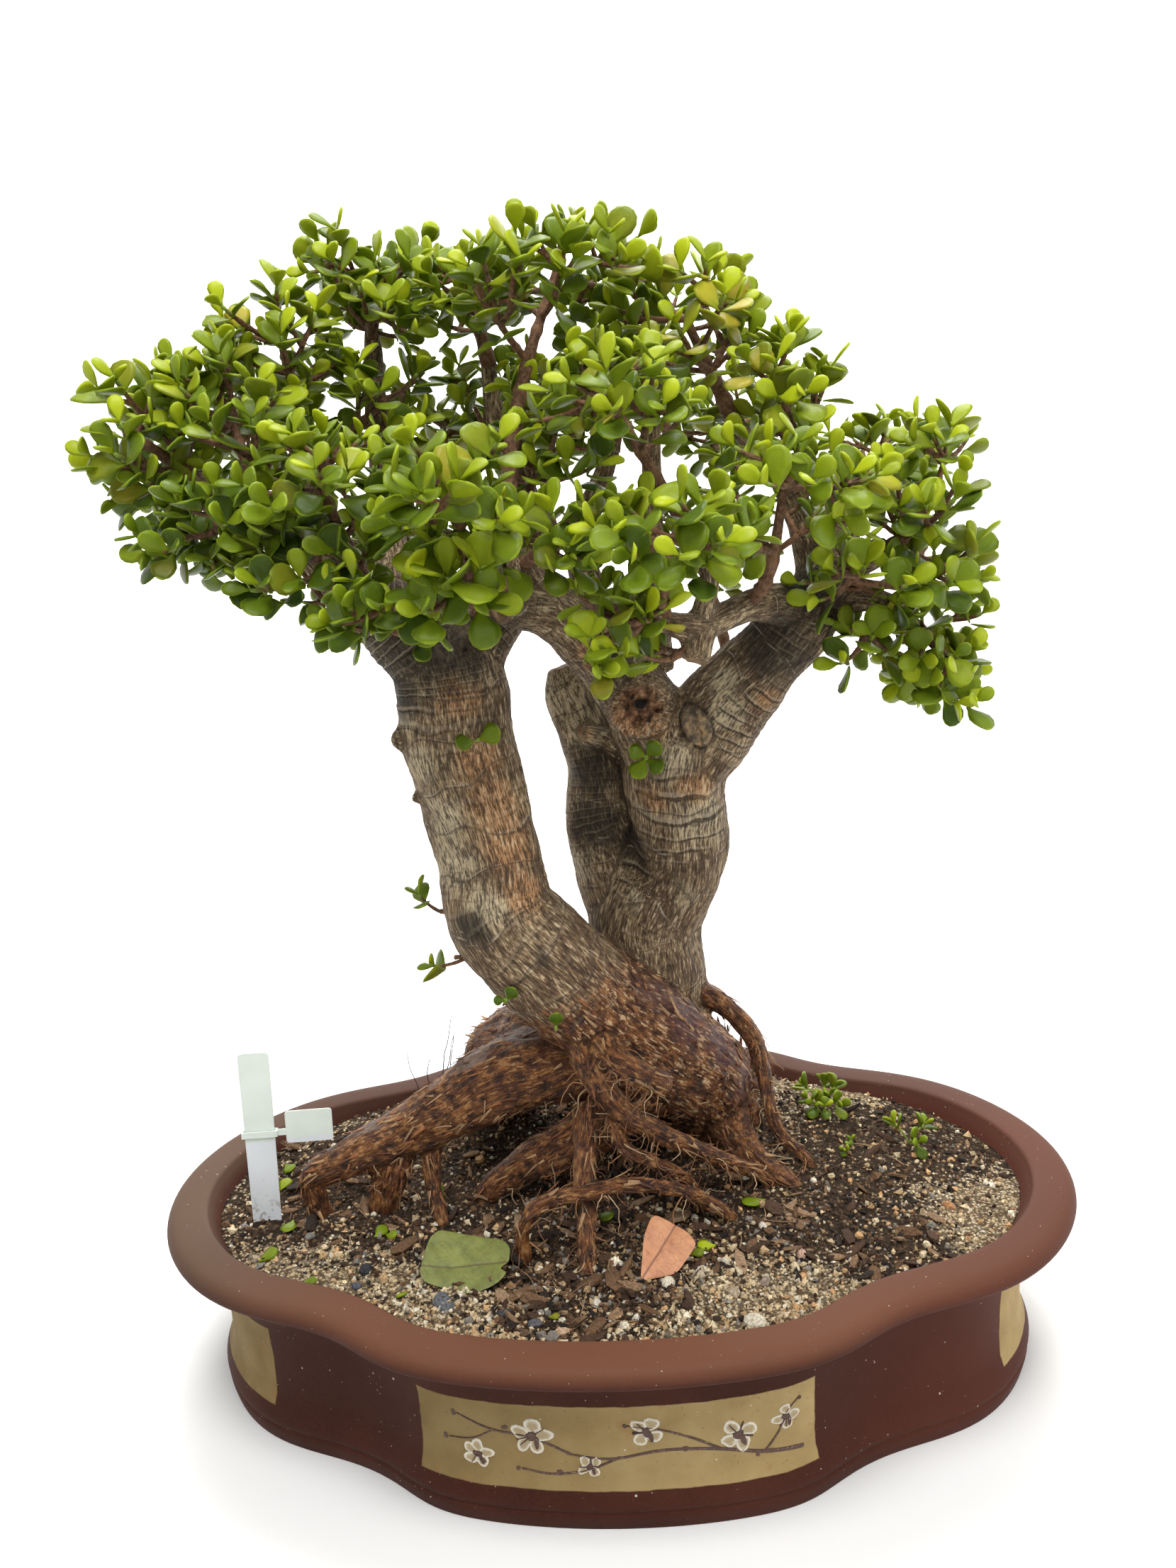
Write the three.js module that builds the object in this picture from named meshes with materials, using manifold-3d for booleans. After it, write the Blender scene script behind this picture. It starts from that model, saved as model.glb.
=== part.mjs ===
// A dwarf jade bonsai: two trunks on one spread of roots, leafy boughs, and a four-lobed clay pot.
// Millimetres, +Z up. The origin is on the ground under the middle of the pot, whose front faces -Y.
import * as THREE from 'three';
import { mergeVertices } from 'three/addons/utils/BufferGeometryUtils.js';
import Module from 'manifold-3d';

const wasm = await Module();
wasm.setup();

// Driving dimensions.
const GAP = 0.35; // kept between neighbouring solids
const CANOPY_HALF_DEPTH = 182; // the leaves stay within the pot's own depth
const POT = {
  halfLength: 280,
  halfDepth: 184,
  height: 116,
  floor: 14,
  foot: 27, // how far the foot stands in from the rim's edge
  wallInset: 31, // the outer wall, in from the rim's edge
  innerInset: 40, // the inner wall, in from the rim's edge
  flange: 24, // width of the flat rim
  notchAngle: THREE.MathUtils.degToRad(41.7),
  notchDepth: 0.069, // part of the radius
  notchWidth: 0.207, // radians
  segments: 48,
  drainRadius: 12,
  drainOffset: 105,
};
const SOIL = { edge: 104, mound: 22, moundY: 108, moundDepth: 68, moundWidth: 210 };
const LEAF = {
  length: 17.5,
  halfWidth: 7.2,
  root: 2.8, // height of a leaf's foot on its twig
  thickness: 2.6,
  pairSpacing: 10,
  lifts: [0.72, 0.4, 0.2], // how far each pair points up along the twig, in radians, from the tip down
};
const TWIG = { tipRadius: 1.3, growth: 0.022 };
const STAKE = { width: 18.5, thickness: 1.3, point: 18 };
const TAG = { width: 28, height: 21, thickness: 0.8, collarHeight: 4, collarWall: 1 };

const bark = new THREE.MeshStandardMaterial({ color: 0x7d6650, roughness: 0.85, metalness: 0 });
const leafGreen = new THREE.MeshStandardMaterial({ color: 0x6f9a35, roughness: 0.4, metalness: 0 });
const clay = new THREE.MeshStandardMaterial({ color: 0x5a3028, roughness: 0.6, metalness: 0 });
const earth = new THREE.MeshStandardMaterial({ color: 0x6b5a45, roughness: 1, metalness: 0 });
const whitePlastic = new THREE.MeshStandardMaterial({ color: 0xeeeeea, roughness: 0.5, metalness: 0 });
const fallenGreen = new THREE.MeshStandardMaterial({ color: 0x7c8f4a, roughness: 0.7, metalness: 0 });
const fallenRed = new THREE.MeshStandardMaterial({ color: 0xa9604a, roughness: 0.7, metalness: 0 });

// Trunks and limbs, each a list of [x, y, z, radius]. The first point lies inside what it grows from.
const LIMBS = {
  leftTrunk: [
    [64, 46, 96, 17], [62, 42, 128, 23], [59, 32, 158, 33], [28, 16, 191, 35], [-6, 8, 222, 34.5],
    [-36, 2, 257, 36], [-59, 0, 286, 34], [-63, 4, 319, 31], [-73, 10, 357, 32], [-80, 14, 389, 33],
    [-81, 16, 417, 34], [-84, 16, 440, 31],
  ],
  leftFork: [
    [-84, 16, 438, 31], [-108, 10, 463, 23], [-127, 2, 482, 19], [-148, -8, 508, 15],
    [-171, -16, 524, 12], [-186, -20, 534, 9.5], [-203, -26, 549, 7],
  ],
  leftBackLimb: [
    [-100, 12, 456, 17], [-112, 38, 505, 10.5], [-118, 56, 558, 8], [-121, 72, 605, 6.5],
    [-121, 80, 634, 5],
  ],
  leftTrunkRightFork: [
    [-78, 16, 433, 23], [-57, 30, 456, 19], [-41, 40, 475, 16], [-26, 50, 501, 13],
    [-33, 60, 531, 9], [-49, 75, 578, 6.8], [-52, 80, 612, 5],
  ],
  rightTrunk: [
    [66, 66, 92, 34], [56, 62, 126, 37], [42, 60, 160, 36], [31, 62, 196, 35], [29, 61, 230, 36],
    [27, 60, 265, 37], [37, 56, 289, 37],
  ],
  rearStub: [
    [22, 60, 262, 30], [11, 62, 296, 28], [2, 64, 329, 22], [1, 65, 360, 19.5], [-5, 66, 388, 18.5],
    [-13, 68, 410, 17.5], [-18, 69, 426, 10],
  ],
  rearSpur: [[14, 54, 376, 8], [4, 47, 383, 6.2], [-5, 43, 387, 5.4]],
  leftNubUpper: [[-88, 6, 398, 11], [-107, 2, 396, 7.5], [-114, 0, 396, 6]],
  leftNubLower: [[-88, 4, 362, 8], [-100, 0, 361, 4.6], [-106, -1, 361, 3.6]],
  rightTrunkUpper: [
    [34, 58, 262, 30], [49, 52, 297, 31], [52, 48, 331, 30], [52, 44, 362, 33], [56, 42, 384, 32],
  ],
  middleLimb: [
    [45, 42, 373, 26], [31, 34, 402, 22.5], [14, 28, 429, 20], [-5, 20, 453, 18], [-22, 12, 472, 15.5],
    [-34, 8, 491, 12.5], [-36, 6, 510, 8.5], [-40, 4, 530, 6.7],
  ],
  middleStub: [[-16, 14, 464, 14], [-34, 0, 470, 14], [-43, -8, 473, 13]],
  knot: [[34, 34, 400, 21], [31, 17, 406, 19], [30, 7, 409, 16]],
  middleBackLimb: [
    [14, 28, 429, 16], [6, 50, 461, 11], [-2, 66, 500, 8.5], [14, 82, 540, 6.5], [22, 90, 560, 5.2],
  ],
  rightLimb: [
    [58, 42, 368, 29], [85, 36, 405, 27], [108, 30, 430, 24], [127, 26, 453, 22], [141, 24, 472, 17],
    [151, 26, 500, 10.5], [155, 27, 518, 8.5],
  ],
  rightOuterLimb: [[132, 25, 458, 16], [153, 2, 483, 10], [170, -6, 490, 7.5]],
  drooping: [[140, 20, 462, 12], [166, 4, 462, 7], [184, 0, 452, 5]],
  foreLimb: [[118, 14, 462, 13], [91, -20, 464, 8.5], [63, -50, 457, 7.8], [38, -75, 465, 5.5]],
  foreStub: [[66, -46, 457, 8], [62, -55, 447, 8.5], [60, -58, 440, 8]],
  foreRiser: [[64, -48, 458, 6.5], [69, -60, 486, 5.5], [60, -68, 506, 4.4]],
  topLimb: [
    [138, 28, 470, 14], [130, 36, 505, 9.5], [118, 41, 532, 7.5], [102, 45, 552, 6.4], [88, 49, 574, 5.2],
  ],
  middleRiser: [
    [38, 44, 424, 14], [42, 58, 462, 9], [43, 68, 512, 7], [45, 73, 560, 5.8], [47, 76, 600, 4.6],
  ],
};

// Roots, in the same form. Each ends in the soil.
const ROOTS = {
  plate: [
    [-14, 12, 188, 27], [-40, 8, 184, 24], [-66, 0, 180, 21.5], [-97, -8, 166, 20.5], [-132, -14, 151, 15],
    [-163, -20, 139, 11], [-186, -22, 128, 8], [-184, -22, 110, 7.5], [-178, -20, 88, 6],
  ],
  plateLegOuter: [[-130, -13, 148, 13], [-138, -17, 126, 11], [-143, -20, 106, 9], [-144, -20, 86, 6]],
  plateLegInner: [
    [-112, -12, 145, 7], [-110, -24, 120, 5.5], [-104, -36, 104, 4.6], [-100, -42, 88, 3.5],
  ],
  front: [
    [-12, -16, 190, 9], [-15, -42, 160, 7.2], [-15, -66, 132, 6.2], [-14, -86, 104, 5.2], [-14, -96, 86, 4],
  ],
  crossing: [
    [-50, -76, 88, 4.4], [-50, -78, 106, 4.9], [-50, -80, 124, 4.9], [-40, -77, 139, 5.2],
    [-14, -70, 142, 5], [16, -60, 140, 4.6], [52, -46, 122, 4.3], [70, -40, 104, 4], [80, -36, 88, 3],
  ],
  long: [
    [-14, -20, 206, 10], [-2, -38, 189, 7.8], [9, -42, 177, 6.8], [29, -38, 160, 6.2], [49, -30, 145, 5.6],
    [71, -20, 129, 5], [93, -8, 110, 4.4], [106, -2, 90, 3.4],
  ],
  blunt: [[-2, -14, 214, 10], [4, -32, 208, 8.6], [20, -44, 201, 8], [36, -49, 196, 7]],
  thin: [
    [4, -30, 180, 6], [8, -44, 156, 4.8], [30, -42, 141, 4.3], [48, -34, 122, 4], [58, -30, 90, 3.2],
  ],
  tail: [
    [66, 26, 148, 20], [80, 12, 124, 12], [94, 4, 113, 8], [110, -4, 104, 5.5], [124, -10, 88, 3.6],
  ],
  arch: [
    [52, 50, 212, 9], [66, 54, 206, 7.6], [82, 55, 192, 6.6], [94, 51, 176, 6.2], [99, 42, 158, 5.6],
    [101, 32, 142, 5], [106, 22, 126, 4.4], [120, 15, 112, 3.8], [132, 12, 96, 3],
  ],
  under: [
    [22, 6, 168, 20], [-4, -2, 150, 17], [-30, -8, 136, 14], [-57, -12, 125, 10.5], [-76, -14, 112, 8],
    [-88, -14, 92, 5],
  ],
  backLeft: [
    [-14, 30, 192, 30], [-44, 46, 182, 31], [-68, 62, 168, 28], [-82, 78, 140, 23], [-86, 86, 92, 15],
  ],
  backMiddle: [[10, 70, 170, 24], [-6, 98, 142, 19], [-22, 118, 112, 14], [-30, 126, 88, 10]],
  backRight: [[60, 72, 150, 24], [80, 88, 130, 15], [98, 98, 114, 9], [110, 102, 92, 6]],
};

// Leafy boughs: the stem's radius, its points from inside a limb to the centre of its leaves, the radii of
// the ellipsoid that they fill, and the number of twigs. A shoot has one twig, with its end given.
const bough = (name, radius, stem, radii, twigs) => ({ name, radius, stem, radii, twigs, leafScale: 1 });
const shoot = (name, radius, stem, end, leafScale) => ({ name, radius, stem, end, twigs: 1, leafScale });
const BOUGHS = [
  // The left crown
  bough('bough_left_tip', 5, [[-194, -23, 541], [-207, -25, 552], [-232, -22, 571]], [33, 48, 36], 3),
  bough('bough_left_middle', 4.5, [[-168, -15, 522], [-175, -14, 546], [-184, -8, 577]], [42, 56, 40], 3),
  bough('bough_left_low', 4, [[-180, -18, 530], [-184, -36, 526], [-184, -56, 520]], [36, 46, 28], 2),
  bough('bough_left_up', 5, [[-132, 0, 486], [-150, 22, 540], [-165, 36, 624]], [36, 50, 34], 2),
  bough('bough_left_top', 4.5, [[-121, 79, 630], [-121, 88, 664]], [46, 52, 30], 3),
  bough('bough_left_front', 5, [[-110, 8, 464], [-117, -22, 490], [-124, -66, 536]], [38, 50, 34], 3),
  bough('bough_left_under', 3.8, [[-88, 10, 448], [-92, -26, 462], [-92, -72, 480]], [40, 40, 22], 2),
  bough('bough_left_far', 4.4, [[-150, -8, 509], [-162, 16, 530], [-186, 76, 576]], [44, 48, 36], 2),
  bough('bough_left_back', 4.2, [[-112, 12, 466], [-122, 46, 480], [-136, 112, 518]], [46, 48, 30], 2),
  // The middle crown
  bough('bough_front', 5, [[-58, 28, 456], [-59, -20, 484], [-50, -116, 528]], [33, 44, 34], 3),
  bough('bough_top', 5, [[-39, 4, 526], [-26, 8, 590], [-4, 16, 648]], [60, 72, 24], 4),
  bough('bough_top_left', 4.8, [[-51, 79, 608], [-60, 78, 652]], [38, 50, 26], 2),
  bough('bough_middle_front', 3.8, [[60, -67, 504], [24, -62, 570]], [46, 58, 28], 3),
  bough('bough_inner', 4, [[46, 75, 590], [34, 66, 596], [2, 40, 590]], [40, 40, 28], 2),
  bough('bough_back_left', 4.5, [[-31, 56, 520], [-42, 76, 534], [-62, 120, 578]], [44, 48, 40], 2),
  bough('bough_back', 5, [[21, 89, 556], [26, 118, 608]], [46, 50, 34], 3),
  bough('bough_front_low', 3.6, [[46, -67, 462], [44, -80, 474], [48, -116, 505]], [46, 46, 22], 3),
  bough('bough_front_hanging', 3, [[41, -72, 464], [9, -94, 453]], [18, 20, 16], 1),
  // The right crown
  bough('bough_top_right', 4.8, [[91, 48, 570], [66, 34, 622]], [44, 60, 32], 3),
  bough('bough_right_top', 4.5, [[127, 38, 514], [130, 32, 536], [116, 14, 576]], [30, 52, 34], 2),
  bough('bough_right_front', 4, [[91, -19, 464], [101, -36, 480], [108, -58, 526]], [46, 54, 34], 3),
  bough('bough_right', 4.8, [[166, -5, 488], [178, -9, 496], [194, -14, 520]], [34, 52, 36], 3),
  bough('bough_right_low', 3.8, [[180, 0, 454], [200, 2, 432]], [34, 38, 38], 2),
  bough('bough_right_back', 4.4, [[151, 26, 502], [164, 50, 510], [178, 84, 530]], [42, 48, 36], 2),
  bough('bough_back_right', 4.4, [[116, 42, 536], [112, 66, 544], [104, 116, 570]], [48, 50, 34], 2),
  bough('bough_back_low', 4.4, [[80, 36, 398], [86, 78, 430], [72, 118, 498]], [46, 44, 30], 2),
  // Young shoots straight out of the old wood
  shoot('shoot_left_upper', 1.8, [[-70, 2, 288], [-96, 0, 290]], [-108, 0, 301], 0.6),
  shoot('shoot_left_lower', 1.6, [[-66, 0, 262], [-89, -2, 261]], [-101, -5, 257], 0.6),
];

const LEAF_CLEARANCE = 5;
const STALK_CLEARANCE = 2;
const SHORTEST_TWIG = 14;
const MOST_SAMPLES = 60;
const CROWN_CENTRE = new THREE.Vector3(-20, 10, 520);

// Fixed steps that spread any number of samples evenly, whatever their count.
const SPREAD = [0.8191725134, 0.6710436067, 0.5497004779];

const vector = (p) => new THREE.Vector3(p[0], p[1], p[2]);
const fraction = (value) => value - Math.floor(value);

// Joining and cutting.

function solidOf(geometry) {
  const bare = geometry.clone();
  bare.deleteAttribute('normal');
  bare.deleteAttribute('uv');
  const merged = mergeVertices(bare, 1e-4);
  const position = merged.attributes.position.array;
  const triangles = [];
  let volume = 0;
  const corner = (i) => new THREE.Vector3().fromArray(position, 3 * i);
  for (let i = 0; i < merged.index.count; i += 3) {
    const [a, b, c] = [0, 1, 2].map((k) => merged.index.array[i + k]);
    if (a === b || b === c || c === a) continue;
    triangles.push(a, b, c);
    volume += corner(a).dot(corner(b).cross(corner(c)));
  }
  if (volume < 0) triangles.reverse();
  return new wasm.Manifold(
    new wasm.Mesh({
      numProp: 3,
      vertProperties: new Float32Array(position),
      triVerts: new Uint32Array(triangles),
    }),
  );
}

function meshOf(name, solid, material) {
  const { vertProperties, triVerts } = solid.getMesh();
  const geometry = new THREE.BufferGeometry();
  geometry.setAttribute('position', new THREE.BufferAttribute(vertProperties, 3));
  geometry.setIndex(new THREE.BufferAttribute(triVerts, 1));
  geometry.computeVertexNormals();
  const mesh = new THREE.Mesh(geometry, material);
  mesh.name = name;
  return mesh;
}

const joined = (solids) => solids.reduce((sum, solid) => sum.add(solid));

function moveEachVertex(geometry, move) {
  const position = geometry.attributes.position;
  for (let i = 0; i < position.count; i += 1) {
    const moved = move(new THREE.Vector3().fromBufferAttribute(position, i), i);
    position.setXYZ(i, moved.x, moved.y, moved.z);
  }
  return geometry;
}

// The pot's outline: an ellipse with a soft notch between each pair of lobes.

function outlineRadius(angle) {
  const { halfLength, halfDepth, notchAngle, notchDepth, notchWidth } = POT;
  const full = 2 * Math.PI;
  let radius = halfLength * halfDepth;
  radius /= Math.hypot(halfDepth * Math.cos(angle), halfLength * Math.sin(angle));
  for (const centre of [notchAngle, Math.PI - notchAngle, Math.PI + notchAngle, full - notchAngle]) {
    const away = Math.abs(fraction((angle - centre) / full + 0.5) - 0.5) * full;
    radius *= 1 - notchDepth * Math.exp(-((away / notchWidth) ** 2));
  }
  return radius;
}

function outlinePoint(angle, inset) {
  const at = (a) => new THREE.Vector2(Math.cos(a), Math.sin(a)).multiplyScalar(outlineRadius(a));
  const along = at(angle + 1e-3).sub(at(angle - 1e-3)).normalize();
  return at(angle).add(new THREE.Vector2(-along.y, along.x).multiplyScalar(inset));
}

// A solid with that outline. Each row of the profile is [inset, height, part of the way out from the axis].
function lobedSolid(profile) {
  const rows = profile.map((_, row) => new THREE.Vector2(row + 1, row));
  const lathe = new THREE.LatheGeometry(rows, POT.segments);
  moveEachVertex(lathe, (_, i) => {
    const [inset, height, out = 1] = profile[i % profile.length];
    const turn = Math.floor(i / profile.length) % POT.segments;
    const plan = outlinePoint((turn / POT.segments) * 2 * Math.PI, inset).multiplyScalar(out);
    const z = typeof height === 'function' ? height(plan.x, plan.y) : height;
    return new THREE.Vector3(plan.x, plan.y, z);
  });
  return solidOf(lathe);
}

function makePot() {
  const { height, floor, foot, wallInset, innerInset, flange } = POT;
  const bowl = lobedSolid([
    [0, 0, 0],
    [foot, 0],
    [foot - 2.5, 13],
    [foot, 24],
    [wallInset, 32],
    [wallInset - 2, 84],
    [foot - 4, 97],
    [5, 102],
    [0, 108],
    [4, height - 1.5],
    [flange, height],
    [innerInset - 2, 94],
    [innerInset, floor],
    [0, floor, 0],
  ]);
  const drain = (side) => {
    const { drainRadius, drainOffset } = POT;
    const hole = new THREE.CylinderGeometry(drainRadius, drainRadius, 4 * floor, 12);
    return solidOf(hole.rotateX(Math.PI / 2).translate(side * drainOffset, 0, floor));
  };
  return bowl.subtract(drain(1)).subtract(drain(-1));
}

// The soil fills the pot and rises in a low mound behind the trunks.

function soilHeight(x, y) {
  const { edge, mound, moundY, moundDepth, moundWidth } = SOIL;
  const out = Math.hypot(x, y) / outlineRadius(Math.atan2(y, x));
  const fade = Math.max(0, 1 - out ** 8 * 2.5);
  const rise = mound * Math.exp(-(((y - moundY) / moundDepth) ** 2) - (x / moundWidth) ** 2);
  return edge + fade * (rise + 1.3 * Math.sin(x / 21) * Math.cos(y / 17) + 0.8 * Math.sin((x - y) / 11));
}

function makeSoil(holes) {
  const { floor, innerInset, flange, height } = POT;
  const wallSlope = (innerInset - 2 - flange) / (height - 94);
  const edgeInset = innerInset - 2 - wallSlope * (SOIL.edge - 94) + 2 * GAP;
  const rings = [0.9, 0.74, 0.52, 0.27];
  const filling = lobedSolid([
    [0, floor + GAP, 0],
    [innerInset + GAP, floor + GAP],
    [innerInset - 2 + GAP, 93.5],
    [edgeInset, SOIL.edge],
    ...rings.map((out) => [edgeInset, soilHeight, out]),
    [edgeInset, soilHeight, 0],
  ]);
  return holes.reduce((soil, hole) => soil.subtract(hole), filling);
}

// Wood: a cylinder bent along a curve, with a radius that follows its points.

function bentCylinder(points, sides, rings, swell = (p, r) => r, roundEnd = true) {
  const curve = new THREE.CatmullRomCurve3(points.map(vector), false, 'centripetal');
  const radiusAt = (t) => {
    const s = t * (points.length - 1);
    const i = Math.min(Math.floor(s), points.length - 2);
    return THREE.MathUtils.lerp(points[i][3], points[i + 1][3], s - i);
  };
  const frames = [];
  let across = new THREE.Vector3(0.31, 0.9, -0.17);
  for (let ring = 0; ring <= rings; ring += 1) {
    const t = ring / rings;
    const along = curve.getTangent(t);
    across = across.clone().addScaledVector(along, -across.dot(along)).normalize();
    const side = across.clone().cross(along);
    frames.push({ centre: curve.getPoint(t), along, across, side, radius: radiusAt(t) });
  }
  const bent = new THREE.CylinderGeometry(1, 1, 1, sides, rings);
  moveEachVertex(bent, (p) => {
    const ring = Math.round((p.y + 0.5) * rings);
    const { centre, along, across: u, side, radius } = frames[ring];
    const onAxis = Math.hypot(p.x, p.z) < 0.5;
    const end = onAxis && ring === rings && roundEnd ? 0.45 * radius : 0;
    const out = u.clone().multiplyScalar(p.x).addScaledVector(side, p.z);
    const reach = onAxis ? 0 : swell(centre.clone().addScaledVector(out, radius), radius);
    return centre.clone().addScaledVector(out, reach).addScaledVector(along, end);
  });
  return bent;
}

// Old wood is never round: its radius swells and shrinks with the place.
function lumpy(place, radius) {
  const { x, y, z } = place;
  const broad = Math.sin(x / 19 + z / 37) * Math.sin(y / 16 - z / 29 + 1.7);
  const fine = Math.sin((x + y) / 7.5) * Math.cos((z - y) / 9.5);
  return radius * (1 + 0.07 * broad) + Math.min(1.2, 0.05 * radius) * fine;
}

function limbSolid(points, grow = 0, flatEnd = false) {
  const widest = Math.max(...points.map((p) => p[3]));
  let sides = 4;
  if (widest > 6) sides = 5;
  if (widest > 13) sides = 6;
  if (widest > 28) sides = 8;
  const length = new THREE.CatmullRomCurve3(points.map(vector)).getLength();
  const rings = Math.max(2, Math.round(length / Math.max(21, 0.95 * widest)));
  const grown = points.map(([x, y, z, r]) => [x, y, z, r + grow]);
  return solidOf(bentCylinder(grown, sides, rings, lumpy, !flatEnd));
}

// Old pruning cuts end flat, and one of them has rotted into a hollow.
const CUT_FLAT = ['rearStub', 'rearSpur', 'middleStub', 'foreStub', 'knot'];
const KNOT_HOLLOW = [[29, -2, 410, 7.5], [30, 14, 408, 3]];

function makeTrunk() {
  const wood = Object.entries({ ...LIMBS, ...ROOTS }).map(([name, points]) => {
    return limbSolid(points, 0, CUT_FLAT.includes(name));
  });
  const hollow = solidOf(bentCylinder(KNOT_HOLLOW, 7, 1));
  return joined(wood).subtract(hollow);
}

function makeTrunkHole() {
  const inSoil = [LIMBS.leftTrunk, LIMBS.rightTrunk, ...Object.values(ROOTS)];
  return joined(inSoil.map((points) => limbSolid(points, GAP)));
}

// A leafy twig: a four-sided stalk whose side faces are drawn out into opposite leaves.

function growLeaf(mesh, [a, b, c, d], node, out, along, { length, lift }) {
  const { halfWidth, thickness } = LEAF;
  const wide = (halfWidth * length) / LEAF.length;
  const axis = out.clone().multiplyScalar(Math.cos(lift)).addScaledVector(along, Math.sin(lift));
  const above = out.clone().multiplyScalar(-Math.sin(lift)).addScaledVector(along, Math.cos(lift));
  const sideways = mesh.places[b].clone().sub(mesh.places[a]).normalize();
  const put = (far, side, up = 0) => {
    const place = node.clone().addScaledVector(axis, far * length);
    place.addScaledVector(sideways, side * wide).addScaledVector(above, up);
    return mesh.places.push(place) - 1;
  };
  const left = [put(0.5, -1), put(0.97, -0.5)];
  const right = [put(0.5, 1), put(0.97, 0.5)];
  const top = put(0.5, 0, thickness / 2);
  const bottom = put(0.5, 0, -thickness / 2);
  const fan = (hub, loop) => {
    loop.forEach((from, i) => mesh.faces.push(hub, from, loop[(i + 1) % loop.length]));
  };
  fan(top, [d, left[0], left[1], right[1], right[0], c]);
  fan(bottom, [b, right[0], right[1], left[1], left[0], a]);
  mesh.faces.push(left[0], d, a, right[0], b, c);
}

// rings: places along the stalk. Each pair grows between the ring before its own and its own ring.
function leafyTwig(rings, across, pairs) {
  const mesh = { places: [], faces: [] };
  const last = rings[rings.length - 1];
  rings.forEach(({ place, along, radius }) => {
    const turned = new THREE.Quaternion().setFromUnitVectors(last.along, along);
    const u = across.clone().applyQuaternion(turned);
    const v = along.clone().cross(u);
    for (const [x, y] of [[1, -1], [1, 1], [-1, 1], [-1, -1]]) {
      const corner = u.clone().multiplyScalar(x).addScaledVector(v, y);
      mesh.places.push(place.clone().addScaledVector(corner, radius * Math.SQRT1_2));
    }
  });
  const second = last.along.clone().cross(across);
  const faceDirections = [across, second, across.clone().negate(), second.clone().negate()];
  for (let ring = 1; ring < rings.length; ring += 1) {
    const pair = pairs.find((entry) => entry.ring === ring);
    for (let side = 0; side < 4; side += 1) {
      const next = (side + 1) % 4;
      const quad = [4 * ring - 4 + side, 4 * ring - 4 + next, 4 * ring + next, 4 * ring + side];
      if (pair && side % 2 === pair.turn) {
        growLeaf(mesh, quad, pair.node, faceDirections[side], last.along, pair);
      } else {
        mesh.faces.push(quad[0], quad[1], quad[2], quad[0], quad[2], quad[3]);
      }
    }
  }
  const end = 4 * (rings.length - 1);
  mesh.faces.push(0, 3, 2, 0, 2, 1, end, end + 1, end + 2, end, end + 2, end + 3);
  const geometry = new THREE.BufferGeometry();
  const numbers = mesh.places.flatMap((p) => p.toArray());
  geometry.setAttribute('position', new THREE.Float32BufferAttribute(numbers, 3));
  geometry.setIndex(mesh.faces);
  return solidOf(geometry);
}

// Clearance: every limb, twig and leaf is remembered as a line with a radius.
const placed = [];

function remember(owner, points, radius) {
  for (let i = 1; i < points.length; i += 1) {
    placed.push({ owner, line: new THREE.Line3(points[i - 1], points[i]), radius });
  }
}

// Within a bough only its leaves keep apart, and they may come closer.
function isClear(owner, line, radius) {
  return placed.every((other) => {
    const sameBough = other.owner === owner;
    if (sameBough && (other.radius !== LEAF_CLEARANCE || radius !== LEAF_CLEARANCE)) return true;
    const least = sameBough ? LEAF_CLEARANCE : radius + other.radius + 1;
    for (let t = 0; t <= 1; t += 0.25) {
      const sample = line.at(t, new THREE.Vector3());
      const nearest = other.line.closestPointToPoint(sample, true, new THREE.Vector3());
      if (nearest.distanceTo(sample) < least) return false;
    }
    return true;
  });
}

// A bough: a stem, then twigs that each start from the part of the bough that is the least way back.

function tipPlace({ stem, radii, end, phase }, index) {
  if (end) return vector(end);
  const centre = stem[stem.length - 1];
  if (index === 0) {
    const outward = vector(centre).sub(CROWN_CENTRE).normalize();
    return vector(centre).add(outward.multiply(vector(radii)));
  }
  const turn = 2 * Math.PI * fraction(phase + index * SPREAD[0]);
  const up = 1 - 1.7 * fraction(phase * 3 + index * SPREAD[1]);
  const out = 1 - 0.3 * fraction(phase * 7 + index * SPREAD[2]);
  const flat = Math.sqrt(Math.max(0, 1 - up * up));
  return new THREE.Vector3(
    centre[0] + radii[0] * out * flat * Math.cos(turn),
    centre[1] + radii[1] * out * flat * Math.sin(turn),
    centre[2] + radii[2] * out * up,
  );
}

function nearestStart(nodes, tip) {
  const cost = ({ place, way }) => {
    const reach = place.distanceTo(tip);
    return reach + 0.45 * way + (reach < SHORTEST_TWIG ? 100 : 0);
  };
  return nodes.reduce((best, node) => (cost(node) < cost(best) ? node : best));
}

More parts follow.
